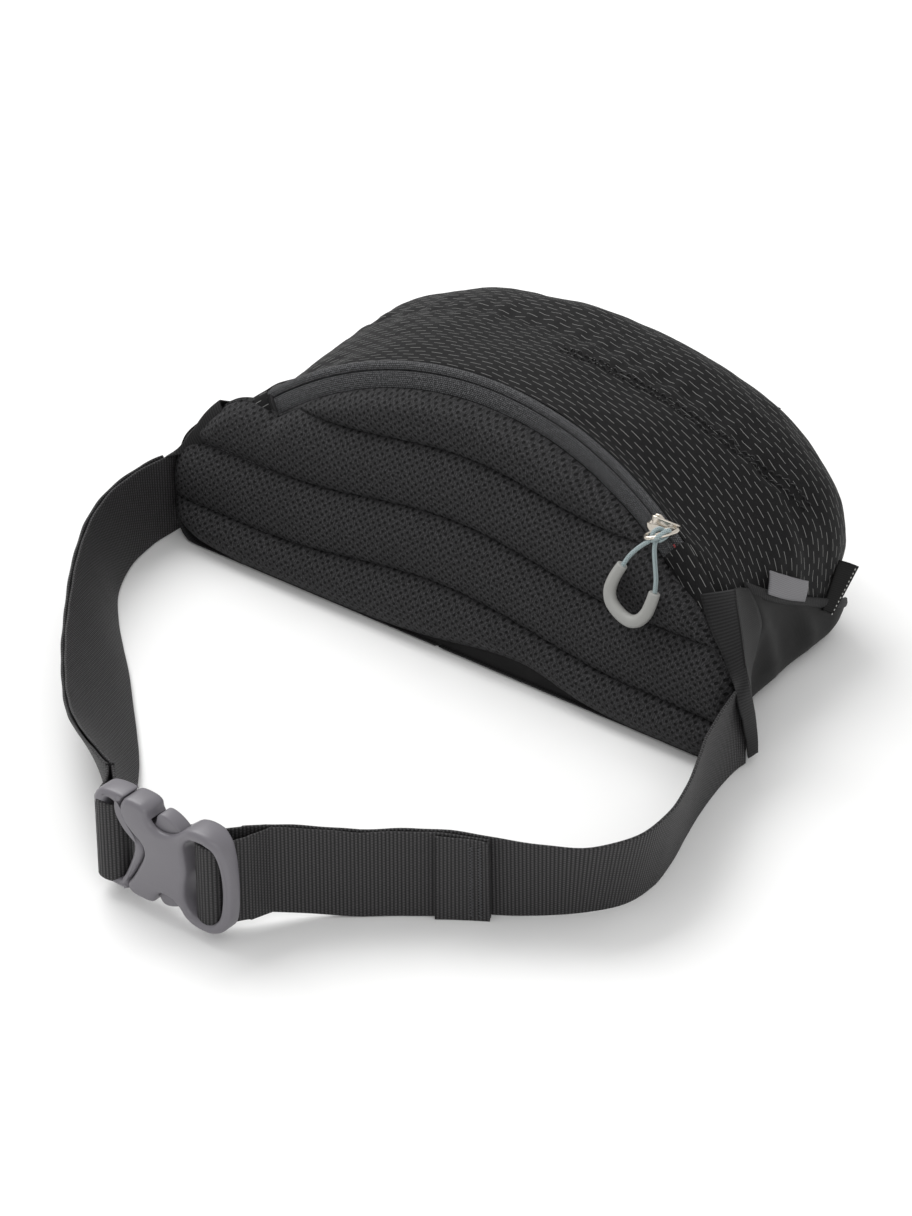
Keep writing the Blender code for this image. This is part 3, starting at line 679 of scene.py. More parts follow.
def body_point(depth, around, out=0.0, side=1):
    """A point on the body: depth in stations, around in steps, moved outwards."""
    i, s = ring_at(depth)
    j = min(int(max(0.0, around)), AROUND - 1)
    t = max(0.0, min(around, AROUND)) - j

    def blend(field):
        near = field[i, j] * (1 - t) + field[i, j + 1] * t
        far = field[i + 1, j] * (1 - t) + field[i + 1, j + 1] * t
        return near * (1 - s) + far * s

    x, y, z = blend(GRID) + blend(NORMALS) * out
    return Vector((x * side, y, z))


def step_at(depth, height):
    """Steps around the body, from the top's middle, to a height on its side."""
    i, s = ring_at(depth)
    heights = GRID[i, :, 2] * (1 - s) + GRID[i + 1, :, 2] * s
    start = AROUND // 4
    return float(np.interp(-height, -heights[start:], range(start, AROUND + 1)))


def hem_height(depth):
    """Height of the side pocket's mouth: it slopes down to the front."""
    return HEM_BACK_Z - HEM_SLOPE * (body_point(depth, AROUND / 2)[1] - HEM_BACK_Y)


# ---------------------------------------------------------------- body

def lump(x, y, z, size, seed=0.0):
    return noise.noise(Vector((x / size + seed, y / size - seed, z / size + 2 * seed)))


def bell(distance, width):
    return exp(-(distance / width) ** 2)


def seam_depth(x):
    """Depth, in stations, of the inner pocket's seam over the right half of the top."""
    return 3.25 + 0.0052 * abs(x) + 0.62 * max(0.0, (abs(x) - 72) / 46) ** 1.5


def shell_out(depth, p, side):
    """How far the cloth stands off its smooth form at a point."""
    x, y, z = p
    gap = unit(depth * 2.0)
    above = unit((z - 6) / 25)
    out = 1.5 * lump(x, y * 1.4, z, 34, 3.0) * gap * above
    out += 0.55 * lump(x, y * 2.2, z, 11, 7.0) * gap * above
    # Pinches where the ends of the zip are sewn down
    ends = bell(abs(x) - 112, 26) * bell(depth - 0.7, 1.1)
    slanted = x * side * 0.55 + z * 0.8 + y * 0.5
    out += 1.7 * sin(slanted / 2.6 + 1.5 * lump(x, y, z, 22, 1.0)) * ends * gap
    # Hollow behind the slider and the ridge beside it
    out -= 3.4 * bell(x - 84, 22) * bell(depth - 1.3, 0.75)
    out += 1.8 * bell(x - 62, 16) * bell(depth - 2.4, 0.8)
    # The front edge's seam, with rows of small puckers
    seam = bell(depth - FRONT_SEAM, 0.16) * unit((z - 30) / 30)
    out -= 1.3 * seam
    out += 0.55 * sin(x / 2.1 + lump(x, y, z, 9, 4.0)) * bell(depth - FRONT_SEAM, 0.6) * above
    # The inner pocket's seam, with finer puckers
    off_seam = depth - seam_depth(x) - 0.08
    sewn = above * unit(x / 12)
    out -= 0.9 * bell(off_seam, 0.22) * sewn
    out += 0.4 * sin(x / 1.9) * bell(off_seam, 0.3) * sewn
    # The lower front corners draw in
    out -= 4.5 * bell(z - 8, 20) * unit((depth - 4.3) / 1.2) * unit((abs(x) - 80) / 25)
    return out


def shell():
    """The whole body, from the back's rim round to the middle of the front."""
    rows, coords = [], []
    arc = lengths_along([ring[AROUND // 3] for ring in RINGS])
    for i, (ring, depth, deep) in enumerate(zip(RINGS, DEPTHS, arc)):
        halves = {1: [], -1: []}
        for j, (x, y, z) in enumerate(ring):
            on_floor = z < FLOOR_FACE and j > AROUND // 2
            for side, half in halves.items():
                point = Vector((x * side, y, z))
                normal = Vector((NORMALS[i, j, 0] * side, NORMALS[i, j, 1], NORMALS[i, j, 2]))
                out = FLOOR_LIFT if on_floor else shell_out(depth, point, side)
                half.append(point + normal * (out if i else 0.0))
        rows.append(halves[1] + halves[-1][-2:0:-1])
        run = lengths_along(ring)
        coords.append([(m, deep) for m in run] + [(-m, deep) for m in run[-2:0:-1]])
    made = surface("bag_shell", rows, SHELL, "pack", coords, True,
                   replaced=("shell_body",))
    thicken(made, 1.0)


def seam_stitches():
    """Two rows of stitches that dip in and out of the cloth along the inner pocket's seam."""
    for number, shift in enumerate((0.0, 0.17)):
        points = []
        run, last = 0.0, None
        for around in spread(3.0, 45.0, 660):
            depth = seam_depth(body_point(3.6, around)[0]) + shift
            flat = body_point(depth, around)
            if last is not None:
                run += (flat - last).length
            last = flat
            stand = shell_out(depth, flat, 1) + 0.30 + 0.75 * sin(run * 2 * pi / STITCH_LENGTH)
            points.append(body_point(depth, around, stand))
        tube("pocket_seam_%d" % number, points, 0.33, SEAM_THREAD, "pack", 6)


shell()
seam_stitches()


# ---------------------------------------------------------------- pad

def groove(low, rise, width, u):
    """Height of a sewn channel that arches up in the middle."""
    bow = rise * (1 + cos(pi * max(-1.0, min(1.0, u / width))))
    return low + bow


def channels(u):
    return (groove(19.0, 4.2, 95, u) - 0.02 * max(0.0, u - 60),
            groove(46.0, 4.6, 92, u), groove(75.2, 3.6, 78, u))


PAD_LEFT = (
    (-110.0, 0.8), (-128.5, 2.6), (-139.5, 6.8), (-145.2, 13.2), (-147.8, 22.0), (-148.8, 32.0),
    (-148.6, 39.5), (-146.6, 45.8), (-141.5, 52.4), (-134.0, 60.4), (-124.0, 69.0),
    (-113.0, 72.2), (-104.0, 71.0),
)
PAD_RIGHT = (
    (102.5, 67.8), (112.0, 65.2), (120.0, 60.2), (127.0, 52.6), (133.0, 46.2), (139.0, 39.6),
    (143.6, 31.5), (145.2, 22.0), (143.6, 10.5), (138.0, 3.2), (131.0, 0.8),
)


def pad_limits():
    """The pad's edge, and its upper and lower halves, each from the left end to the right."""
    radius = ZIP_RADIUS - PAD_INSET
    top = []
    for k in range(-38, 39):
        angle = ZIP_END * k / 39
        top.append((radius * sin(angle), ZIP_CENTRE_V + radius * cos(angle)))
    left = smooth_path(PAD_LEFT, 5)
    right = smooth_path(PAD_RIGHT, 5)
    floor_line = [(u, 0.7 + 7.2 * exp(-((u - 40) / (42 if u < 40 else 28)) ** 2))
                  for u in spread(-108, 130, 60)]
    first = min(range(len(left)), key=lambda i: left[i][0])
    last = max(range(len(right)), key=lambda i: right[i][0])
    upper = left[first:] + top + right[:last + 1]
    lower = left[:first + 1][::-1] + floor_line + right[last:][::-1]
    return upper + lower[::-1][1:-1], upper, lower


def pad_grid():
    """Columns of points over the pad: u, v, share across a ridge, and the ridge's height."""
    top, low = pad_limits()[1:]
    rows = []
    for c in range(PAD_COLUMNS + 1):
        s = 2 * c / PAD_COLUMNS - 1
        share = 0.5 + 0.5 * sin(s * pi / 2 * PAD_CROWDING) / sin(pi / 2 * PAD_CROWDING)
        u = top[0][0] + (top[-1][0] - top[0][0]) * share
        v_top, v_low = (float(np.interp(u, [p[0] for p in line], [p[1] for p in line]))
                        for line in (top, low))
        tall = max(0.6, v_top - v_low)
        marks = [v_low]
        for wanted, cap in zip(channels(u), CHANNEL_CAPS):
            share = unit((wanted - v_low) / tall)
            marks.append(v_low + tall * (share if share <= cap else cap + 0.02 * (share - cap)))
        marks.append(v_low + tall)
        row = []
        for number, (a, b) in enumerate(zip(marks, marks[1:])):
            last = number == len(CHANNEL_CAPS)
            for k in range(RIDGE_STEPS + 1 if last else RIDGE_STEPS):
                t = 0.5 - 0.5 * cos(pi * k / RIDGE_STEPS)
                row.append((u, a + (b - a) * t, t, b - a))
        rows.append(row)
    return rows


def edge_gaps(rows):
    """How far each point of the pad is from the pad's edge."""
    flat = np.array([p[:2] for row in rows for p in row])
    edge = np.array(pad_limits()[0])
    nearest = np.full(len(flat), 1e9)
    for start, reach in zip(edge, np.roll(edge, -1, axis=0) - edge):
        share = np.clip(((flat - start) @ reach) / max(1e-9, reach @ reach), 0, 1)
        nearest = np.minimum(nearest, np.linalg.norm(flat - start - share[:, None] * reach, axis=1))
    return nearest.reshape(len(rows), -1)


def pad_rise(u, v, t, width, gap):
    """Height of the pad's face over the back plane."""
    swell = sin(pi * unit(t)) ** 0.55
    tall = unit(width / 19.0) ** 0.8
    round_off = min(1.0, gap / (9.0 if v > 14 else 7.0))
    edge_rise = sqrt(max(0.0, 1 - (1 - round_off) ** 2))
    ridge = PAD_VALLEY + (PAD_TOP - PAD_VALLEY) * swell * tall
    w = PAD_LOW + (ridge - PAD_LOW) * edge_rise
    w += 0.35 * lump(u, v, 0, 17, 5.0) * edge_rise
    return w + 0.28 * sin(u / 1.9 + 2.0 * lump(u, v, 0, 14, 2.0)) * (1 - swell) ** 2 * edge_rise


def pad():
    grid = pad_grid()
    rows = [[place(*p[:2], pad_rise(*p, gap)) for p, gap in zip(row, gaps)]
            for row, gaps in zip(grid, edge_gaps(grid))]
    made = surface("back_pad", rows, MESH, "pack",
                   [[p[:2] for p in row] for row in grid], replaced=("back_pad_cover", "back_foam"))
    thicken(made, PAD_THICK)
    channel_stitches()


def channel_stitches():
    """Short stitches that show where the channels run out at the left wing."""
    for number, (start, end) in enumerate(((-137, -100), (-134, -92))):
        height = 1 - number
        for u in spread(start, end, 15):
            v = channels(u)[height]
            w = PAD_VALLEY + 0.15
            a, b = place(u - 0.9, v + 0.25, w), place(u + 0.9, v - 0.25, w)
            tube("channel_stitch_%d_%d" % (number, round(u * 10) + 2000), [a, a.lerp(b, 0.5), b],
                 0.3, DARK_THREAD, "pack", 6)


# ---------------------------------------------------------------- main zip

def arc_profile(name, profile, look, start=-ZIP_END, end=ZIP_END, steps=160, wobble=0.0,
                replaced=()):
    """A strip along the main zip's arc with a given section of (radius, height)."""
    rows, coords = [], []
    for angle in spread(start, end, steps):
        row, mark, across = [], [], 0.0
        last = None
        for r, w in profile:
            shift = wobble * lump(angle * ZIP_RADIUS, r, 0, 16, 9.0)
            row.append(place(r * sin(angle), ZIP_CENTRE_V + r * cos(angle), w + shift))
            if last:
                across += hypot(r - last[0], w - last[1])
            last = (r, w)
            mark.append((angle * ZIP_RADIUS, across))
        rows.append(row)
        coords.append(mark)
    surface(name, rows, look, "pack", coords, True, True, replaced)


def main_zip():
    low = ((160.9, 0.2), (161.3, 1.0), (162.0, 1.45), (164.0, 1.70), (166.2, 1.75), (168.0, 1.65),
           (168.8, 1.35), (168.95, 0.2))
    high = ((169.05, 0.2), (169.2, 1.4), (169.7, 1.75), (170.9, 1.9), (171.8, 1.7), (172.6, 0.9),
            (172.8, 0.2))
    first = -ZIP_END - radians(1.6)
    for name, section in (("lower", low), ("upper", high)):
        arc_profile("main_tape_" + name, section, TAPE, first, wobble=0.35,
                    replaced=("zip_tape_" + name,))
    for side, label in ((-1, "left"), (1, "right")):
        start = side * (ZIP_END - radians(2.4 if side > 0 else 0.2))
        end = side * (ZIP_END + radians(6.4))
        fold = ((161.6, 0.4), (162.2, 2.4), (164.5, 3.5), (168.0, 3.8), (171.2, 3.3), (173.2, 1.6),
                (173.8, -0.6), (172.0, -0.2), (168.0, 2.6), (164.8, 2.4), (162.6, 0.6))
        arc_profile("garage_" + label, fold, SHELL, min(start, end),
                    max(start, end), 24, 0.9, ("zip_garage_" + label,))


def edge_binding():
    """Ribbed binding between the pad and the shell, round both wings and along the lower edge."""
    inner = moved_edge(-ZIP_BAND - GAP - 1.2, -1.6)
    outer = moved_edge(ZIP_BAND + 0.6, 1.4)
    pairs = [pair for pair in zip(inner, outer) if pair[1][0] > 106.0 or pair[1][1] < 30.0]
    dense = []
    for (a, b), (c, d) in zip(pairs, pairs[1:]):
        count = max(1, round(dist(b, d) / 1.2))
        for k in range(count):
            t = k / count
            dense.append((mixed(a, c, t), mixed(b, d, t)))
    for side, label in SIDES:
        rows, coords, run = [], [], 0.0
        last = None
        for low, high in dense:
            if last:
                run += dist(high, last)
            last = high
            row, mark = [], []
            for t in spread(0.0, 1.0, 14):
                u, v = mixed(low, high, t)
                w = 0.5 + 2.5 * sin(pi * min(1.0, 0.1 + 0.9 * t)) ** 0.7
                row.append(place(u * side, max(v, 0.3), w))
                mark.append((run, 6.0 * t))
            under = -1.8 if high[1] > 8 else 0.2
            row += [place(u * side, max(v, 0.3), w) for (u, v), w in ((high, under), (low, 0.1))]
            mark += [(run, 7.5), (run, 10.0)]
            rows.append(row)
            coords.append(mark)
        surface("panel_binding_" + label, rows, BINDING, "pack", coords, True, True)


# ---------------------------------------------------------------- sides

def folds(depth, z, side):
    """Loose folds of the stretch pocket."""
    y = body_point(depth, AROUND / 2)[1]
    fade = unit((hem_height(depth) - z) / 14) * unit((z - 4) / 12)
    main = 3.0 * bell((y + 4) + (z - 20) * 0.55, 7.5)
    second = 1.9 * bell((y - 22) + (z - 26) * 0.35, 6.0)
    third = 1.2 * bell((y + 27) - (z - 20) * 0.25, 5.0)
    return (main + second + third) * fade + 0.5 * lump(y, z, side, 13, 6.0) * fade


def sides():
    for side, label in SIDES:
        rows = []
        for depth in spread(*POCKET_DEPTHS, 90):
            top = hem_height(depth)
            heights = spread(top - 0.5, 0.5, 34)
            rows.append([body_point(depth, step_at(depth, h), 1.9 + folds(depth, h, side), side)
                         for h in heights])
        made = surface("pocket_" + label, rows, PLAIN, "pack",
                       replaced=("side_pocket_" + label,))
        thicken(made, CLOTH_THICK)
        hem(side, label)
        wing_strip(side, label)
        corner_tab(side, label)
    label_piece()


def hem(side, label):
    """Elastic binding along the pocket's mouth."""
    section = ((0.2, 1.0), (0.7, 1.8), (0.3, 2.6), (-1.6, 2.9), (-3.0, 2.8), (-3.8, 2.4),
               (-3.6, 1.4), (-2.0, 1.2))
    rows = []
    for depth in spread(*HEM_DEPTHS, 90):
        top = hem_height(depth)
        rows.append([body_point(depth, step_at(depth, top + up), out, side) for up, out in section])
    coords = [[(run, up) for up, out in section] for run in lengths_along([row[0] for row in rows])]
    surface("pocket_mouth_" + label, rows, BINDING, "pack", coords, True, True,
            ("pocket_hem_" + label,))


def evenly(points, count):
    """Points at equal lengths along a smooth curve."""
    fine = [Vector(p) for p in smooth_path(points, 8)]
    runs = lengths_along(fine)
    wanted = spread(0.0, runs[-1], count)
    columns = [np.interp(wanted, runs, [p[axis] for p in fine]) for axis in range(3)]
    return [Vector(point) for point in zip(*columns)]


# The strip's edge on the pad's side: over the panel first, then round the belt's sewn end
STRIP_INNER = [place(*p) for p in (
    (118.0, 64.6, 3.6), (121.5, 60.6, 4.6), (127.0, 53.2, 5.4), (133.5, 46.6, 5.8),
    (139.4, 40.2, 6.0),
)] + [Vector(p) for p in (
    (148.2, -58.4, 38.4), (150.9, -59.7, 32.7), (151.7, -57.9, 26.1), (151.2, -55.3, 19.0),
    (150.6, -52.6, 12.0), (150.6, -50.8, 4.0),
)]
STRIP_FOLD = (
    (132.4, -38.2, 69.2), (138.2, -43.8, 63.0), (142.4, -47.4, 56.6), (146.0, -50.0, 49.0),
    (148.9, -51.5, 42.0), (150.8, -51.0, 35.0), (151.8, -48.8, 23.0), (151.9, -46.9, 14.0),
    (151.6, -45.4, 4.5),
)


def wing_strip(side, label):
    """The cloth strip over the wing and the belt's sewn end, and its fold back to the pocket."""
    count = 64
    rows, back_rows = [], []
    pairs = list(zip(evenly(STRIP_INNER, count), evenly(STRIP_FOLD, count)))
    for start, end in pairs if side > 0 else pairs[6:]:
        if side < 0:
            end = end - Vector((2.0 + 3.5 * unit((end.z - 32) / 20), 0, 0))
        row = []
        for t in spread(0.0, 1.0, 12):
            p = start.lerp(end, t)
            bow = (0.5 + 1.3 * unit((start.z - 28) / 20)) * sin(pi * t) ** 0.8
            crease = lump(start.z, t * 9, side, 11, 1.0)
            p += Vector((0.62, -0.55, 0.45)) * bow + Vector((0.3, 0, 0)) * crease
            row.append(Vector((p.x * side, p.y, p.z)))
        rows.append(row)
        last = row[-1]
        reach = POCKET_DEPTHS[0] + 0.1
        goal_z = 3.0 + (hem_height(reach) - 4.5) * (last.z - 4.5) / (STRIP_FOLD[0][2] - 4.5)
        goal = body_point(reach, step_at(reach, goal_z), 2.0 + folds(reach, goal_z, side), side)
        back = []
        for t in spread(0.0, 1.0, 10):
            p = last.lerp(goal, t)
            p.x -= side * 1.2 * sin(pi * t) * unit((last.z - 20) / 25)
            back.append(p)
        back_rows.append(back)
    made = surface("wing_cover_" + label, rows, BINDING, "pack",
                   replaced=("wing_strip_" + label,))
    thicken(made, 0.8)
    made = surface("pocket_root_" + label, back_rows, PLAIN, "pack")
    thicken(made, CLOTH_THICK)


def corner_tab(side, label):
    """A folded tab sewn into the front corner, with a row of stitches on its edge."""
    rows = []
    for t in spread(0.0, 1.0, 12):
        root = Vector((123.2, 50.0, 37.5)).lerp(Vector((127.2, 33.5, 23.0)), t)
        reach = 9.5 - 4.5 * t
        rows.append([Vector(((root.x + 0.55 * reach * k / 5) * side, root.y + 0.75 * reach * k / 5,
                             root.z - 0.35 * reach * k / 5 - 1.2 * (k / 5) ** 2))
                     for k in range(6)])
    made = surface("corner_tab_" + label, rows, PLAIN, "pack",
                   replaced=("front_tab_" + label,))
    thicken(made, 1.5, 0.0)
    edge = [row[-1].lerp(row[-2], 0.45) + Vector((0.55 * side, -0.75, 0.1)) for row in rows]
    fine = smooth_path(edge, 2)
    for i in range(1, len(fine) - 1, 2):
        a, b = Vector(fine[i]), Vector(fine[i + 1])
        tube("tab_stitch_%s_%d" % (label, i), [a, a.lerp(b, 0.5), a.lerp(b, 0.8)], 0.26, THREAD,
             "pack", 6)


def label_piece():
    """Blank woven label on the right side, standing on the pocket's mouth."""
    rows, falls = [], []
    for t in spread(0.0, 1.0, 24):
        low_depth, high_depth = 2.66 + 1.28 * t, 2.87 + 1.13 * t
        low = hem_height(low_depth) - 1.4
        tall = 7.0 + 2.0 * t
        row = []
        for k in range(11):
            up = 1 - k / 10
            depth, h = low_depth + (high_depth - low_depth) * up, low + tall * up
            row.append(body_point(depth, step_at(depth, h), 3.4 + 0.5 * sin(tall * up / 3.2)))
        rows.append(row)
        falls.append(spread(tall, 0.0, 10))
    runs = lengths_along([row[0] for row in rows])
    coords = [[(run, h) for h in fall] for run, fall in zip(runs, falls)]
    made = surface("blank_label", rows, LABEL, "pack", coords,
                   replaced=("side_label",))
    thicken(made, 0.9)


# ---------------------------------------------------------------- slider and pull

def slider_frame(along, radial, w):
    """A point by the slider: along the zip to the right, away from the arc's centre, outwards."""
    s, c = sin(SLIDER_ANGLE), cos(SLIDER_ANGLE)
    r = ZIP_LINE + radial
    return place(r * s + along * c, ZIP_CENTRE_V + r * c - along * s, w)


def prism(name, outline, low, high, look, body, bevel, replaced=()):
    """A flat outline of (along, radial) in the slider's frame between two heights."""
    shape = bmesh.new()
    floor = [shape.verts.new(slider_frame(a, r, low) * MM) for a, r in outline]
    roof = [shape.verts.new(slider_frame(a, r, high) * MM) for a, r in outline]
    shape.faces.new(floor)
    shape.faces.new(roof)
    for i in range(len(outline)):
        j = (i + 1) % len(outline)
        shape.faces.new((floor[i], floor[j], roof[j], roof[i]))
    bmesh.ops.recalc_face_normals(shape, faces=shape.faces)
    mesh = mesh_from(name, shape)
    made = finished(name, mesh, look, body, replaced)
    mesh.set_sharp_from_angle(angle=radians(30))
    rounded(made, bevel)


def near(u, v, w):
    """A point by the pull's knot, in the back plane's directions."""
    r = ZIP_LINE - 3.0
    return place(r * sin(SLIDER_ANGLE) + u, ZIP_CENTRE_V + r * cos(SLIDER_ANGLE) + v, w)


def near_path(points, steps):
    return [near(*p) for p in smooth_path(points, steps)]


def towards(u, v, w):
    return (near(u, v, w) - near(0, 0, 0)).normalized()


def slider():
    plate = [(-4.9, 3.0), (-3.4, 4.1), (0, 4.4), (3.4, 4.1), (4.9, 3.0), (4.4, 0), (4.9, -3.0),
             (3.4, -4.1), (0, -4.4), (-3.4, -4.1), (-4.9, -3.0), (-4.4, 0)]
    prism("slider_plate", plate, 2.3, 3.9, METAL, "main_slider", 0.5,
          ("main_slider",))
    crown = near_path([(-1.2, 4.4, 3.0), (-0.6, 5.4, 5.6), (0.6, 6.2, 7.6), (2.6, 6.6, 8.2),
                       (5.6, 6.3, 7.2), (8.2, 5.7, 5.6), (9.4, 5.0, 3.6), (9.2, 4.2, 1.8)], 5)
    rows = []
    for i, p in enumerate(crown):
        heading = heading_at(crown, i)
        wide = towards(0.45, 0.85, 0.25)
        wide = (wide - heading * wide.dot(heading)).normalized()
        rise = heading.cross(wide)
        turn = [2 * pi * k / 20 for k in range(20)]
        rows.append([p + wide * blunt(cos(a), 0.4) * 1.9
                     + rise * blunt(sin(a), 0.5) * 0.55 for a in turn])
    surface("slider_crown", rows, METAL, "main_slider", None, True, True)


def pull():
    """The ring on the slider's crown, the cord through it and the grip on the cord's ends."""
    middle = near(7.6, 3.2, 10.3)
    one, two = towards(-7.6, -4.6, 9.0), towards(0.787, 0.05, 0.617)
    ring = []
    for i in range(44):
        a = 2 * pi * i / 44
        ring.append(middle + one * (blunt(cos(a), 0.9) * 6.5)
                    + two * (blunt(sin(a), 0.8) * 3.5))
    tube("pull_ring_wire", ring, 0.72, METAL, "pull_ring", 12, True,
         ("pull_ring",), 1.2)
    route = near_path(
        [(-4.7, -14.6, 14), (-2.9, -10.2, 14), (-0.3, -6.2, 14), (2.8, -2.7, 14.2),
         (5.0, -0.6, 14.3), (5.9, 1.6, 14.2), (6.3, 4.0, 13.6), (7.4, 5.2, 11.8), (8.6, 4.2, 10.2),
         (8.2, 2.0, 9.6), (7.4, 0.4, 10.6), (7.2, -0.2, 12.4), (7.9, -1.2, 13.8),
         (8.6, -4.0, 14.1), (10.0, -8.8, 14), (11.8, -14.4, 14), (12.5, -19.8, 14)], 7)
    tube("pull_cord_braid", route, 0.92, CORD, "main_pull", replaced=("pull_cord",))
    turn = near_path(
        [(5.6, -0.2, 13.4), (7.6, 1.0, 14.6), (9.6, 3.4, 14.4), (10.9, 5.4, 13.0),
         (11.3, 5.6, 11.0), (10.6, 4.0, 9.6), (9.4, 1.8, 10.0), (8.2, 0.2, 12.0)], 6)
    tube("pull_cord_turn", turn, 0.88, CORD, "main_pull")
    path = near_path([(u, v, 14) for u, v in (
        (-4.6, -13.6), (-6.4, -17.6), (-7.7, -21.8), (-8.0, -25.8), (-6.4, -29.6), (-3.0, -32.2),
        (1.0, -33.9), (4.8, -34.2), (8.2, -32.4), (10.6, -28.8), (11.7, -24.4), (12.4, -19.6))], 5)
    radii = [2.35 + 0.42 * sin(pi * i / (len(path) - 1)) for i in range(len(path))]
    made = tube("pull_grip_moulding", path, radii, GRIP, "main_pull", 20,
                replaced=("pull_grip",), squash=0.96)
    made.data.set_sharp_from_angle(angle=radians(50))
    rounded(made, 0.35, 3, 60)


def bar_tack():
    """Red stitches over the zip's right end."""
    points = [near(*p) for p in ((9.6, -2.0, 2.6), (10.6, -2.9, 2.75), (11.8, -3.5, 2.75),
                                 (12.8, -4.4, 2.6))]
    tube("zip_bar_tack", points, 0.4, RED_THREAD, "pack", 6)


# ---------------------------------------------------------------- belt

LEFT_STRAP = (
    (-STRAP_X, -50, 0, 0), (-STRAP_X, -58, 0, 0), (-148.5, -70, 3, 0), (-145, -90, 8, 0),
    (-135, -112, 14, 0), (-121, -131, 22, 0), (-107, -147, 30, 0), (-92, -163, 38, 0),
    (-76, -180, 43, 0), (-60, -196, 45, 0), (-43, -212, 41, 0.5), (-24, -230, 27, 2.5),
    (-8, -245.5, 10, 5), (-0.8, -252.2, 0, 6),
)
RIGHT_STRAP = (
    (STRAP_X, -50, 0, 0), (STRAP_X, -58, 0, 0), (151, -72, 2, 0), (156, -90, 4, 0),
    (162, -106, 7, 0), (168, -122, 9, 0), (172.5, -140, 11, 0), (171.5, -158, 14, 0),
    (161, -175, 16, 0), (143, -188.5, 9, 0), (125, -198, 3, 0), (109, -209, 0, 0),
    (94, -221.5, 0, 0), (80, -234.5, 0, 2.5), (69.5, -246, 0, 5),
)
LOCK_LOOP = (
    (64.4, -253.0), (59.8, -257), (56.6, -260.4), (54.9, -264.6), (55.2, -268.3), (57.8, -270.4),
    (62.2, -270.8), (65.2, -269.2), (66.3, -265), (67.2, -261.5), (70.0, -256.2),
)
MALE_LOOP = (
    (-1.4, -251.7), (1.2, -254.1), (6, -258.2), (11.6, -259.8), (16.6, -261.4), (18.8, -265.6),
    (17.0, -270.0), (12, -271.7), (7.4, -270.4), (5.6, -266.6), (3.6, -261.4), (0.0, -256.2),
    (-2.8, -253.2),
)
STRAP_STEPS = 7                # points along a strap between two knots
ROOT_CUT = 4 * STRAP_STEPS     # where the left webbing's sewn root ends
TAIL_KNOTS = 6
TAIL_START = 4
TAIL_END = 12


def strap_line(knots, shift, stack=0.0, steps=STRAP_STEPS):
    """Middle, up and face directions along a standing strap."""
    path = smooth_path([k[:2] for k in knots], steps)
    leans = smooth_path([k[2:] for k in knots], steps)
    line = []
    for i, ((x, y), (lean, bottom)) in enumerate(zip(path, leans)):
        heading = heading_at(path, i)
        outward = Vector((heading.y, -heading.x)) * (1 if knots[0][0] < 0 else -1)
        angle = radians(max(0.0, lean))
        up = Vector((outward.x * sin(angle), outward.y * sin(angle), cos(angle)))
        face = Vector((outward.x * cos(angle), outward.y * cos(angle), -sin(angle)))
        foot = max(0.0, bottom) + (stack + WEB_THICK / 2) * sin(angle) + 0.2
        middle = Vector((x, y, foot + WEBBING / 2 * cos(angle))) + face * shift
        line.append((middle, up, face))
    return line


def upright_line(path, steps=6):
    """A standing loop round a buckle's bar, a little narrower in its middle."""
    fine = smooth_path(path, steps)
    line = []
    last = len(fine) - 1
    for i, (x, y) in enumerate(fine):
        narrow = 1 - 0.075 * sin(pi * i / last) ** 0.4
        heading = heading_at(fine, i)
        face = Vector((heading.y, -heading.x, 0))
        line.append((Vector((x, y, BUCKLE_Z)), Vector((0, 0, narrow)), face))
    return line


def flipped(line):
    return [(middle, up, face * -1) for middle, up, face in line]


def webbing_section():
    """Half widths and half thicknesses round the strap's section, flat with round selvages."""
    points = []
    flat, turns = 14, 6
    thin = WEB_THICK / 2
    straight = WEBBING / 2 - thin
    for side in (1, -1):
        for k in range(flat + 1):
            points.append((side * ((WEBBING - 2 * thin) * k / flat - straight), side * thin))
        for k in range(1, turns):
            a = side * pi / 2 - pi * k / turns
            points.append((side * straight + thin * cos(a), thin * sin(a)))
    return points


SECTION_WEB = webbing_section()


def strap(name, line, body, replaced, run=0.0, caps=True):
    """Webbing along a line of middles, with a slightly waved selvage; run is what came before."""
    rows, coords = [], []
    last = None
    for middle, up, face in line:
        if last is not None:
            run += (middle - last).length
        last = middle
        wave = 0.16 * sin(run / 3.1) + 0.12 * sin(run / 7.3 + 1.0)
        rows.append([middle + up * (t + (wave if t > SELVAGE else 0)) + face * n
                     for t, n in SECTION_WEB])
        coords.append([(run, t + (0.8 if n < 0 else 0)) for t, n in SECTION_WEB])
    return surface(name, rows, WEB, body, coords, True, caps, replaced)


def denser(line, step=1.5):
    """Extra points along a strap, so that its edges stay smooth."""
    out = []
    for a, b in zip(line, line[1:]):
        count = max(1, round((b[0] - a[0]).length / step))
        for k in range(count):
            out.append(tuple(p.lerp(q, k / count) for p, q in zip(a, b)))
    out.append(line[-1])
    return out


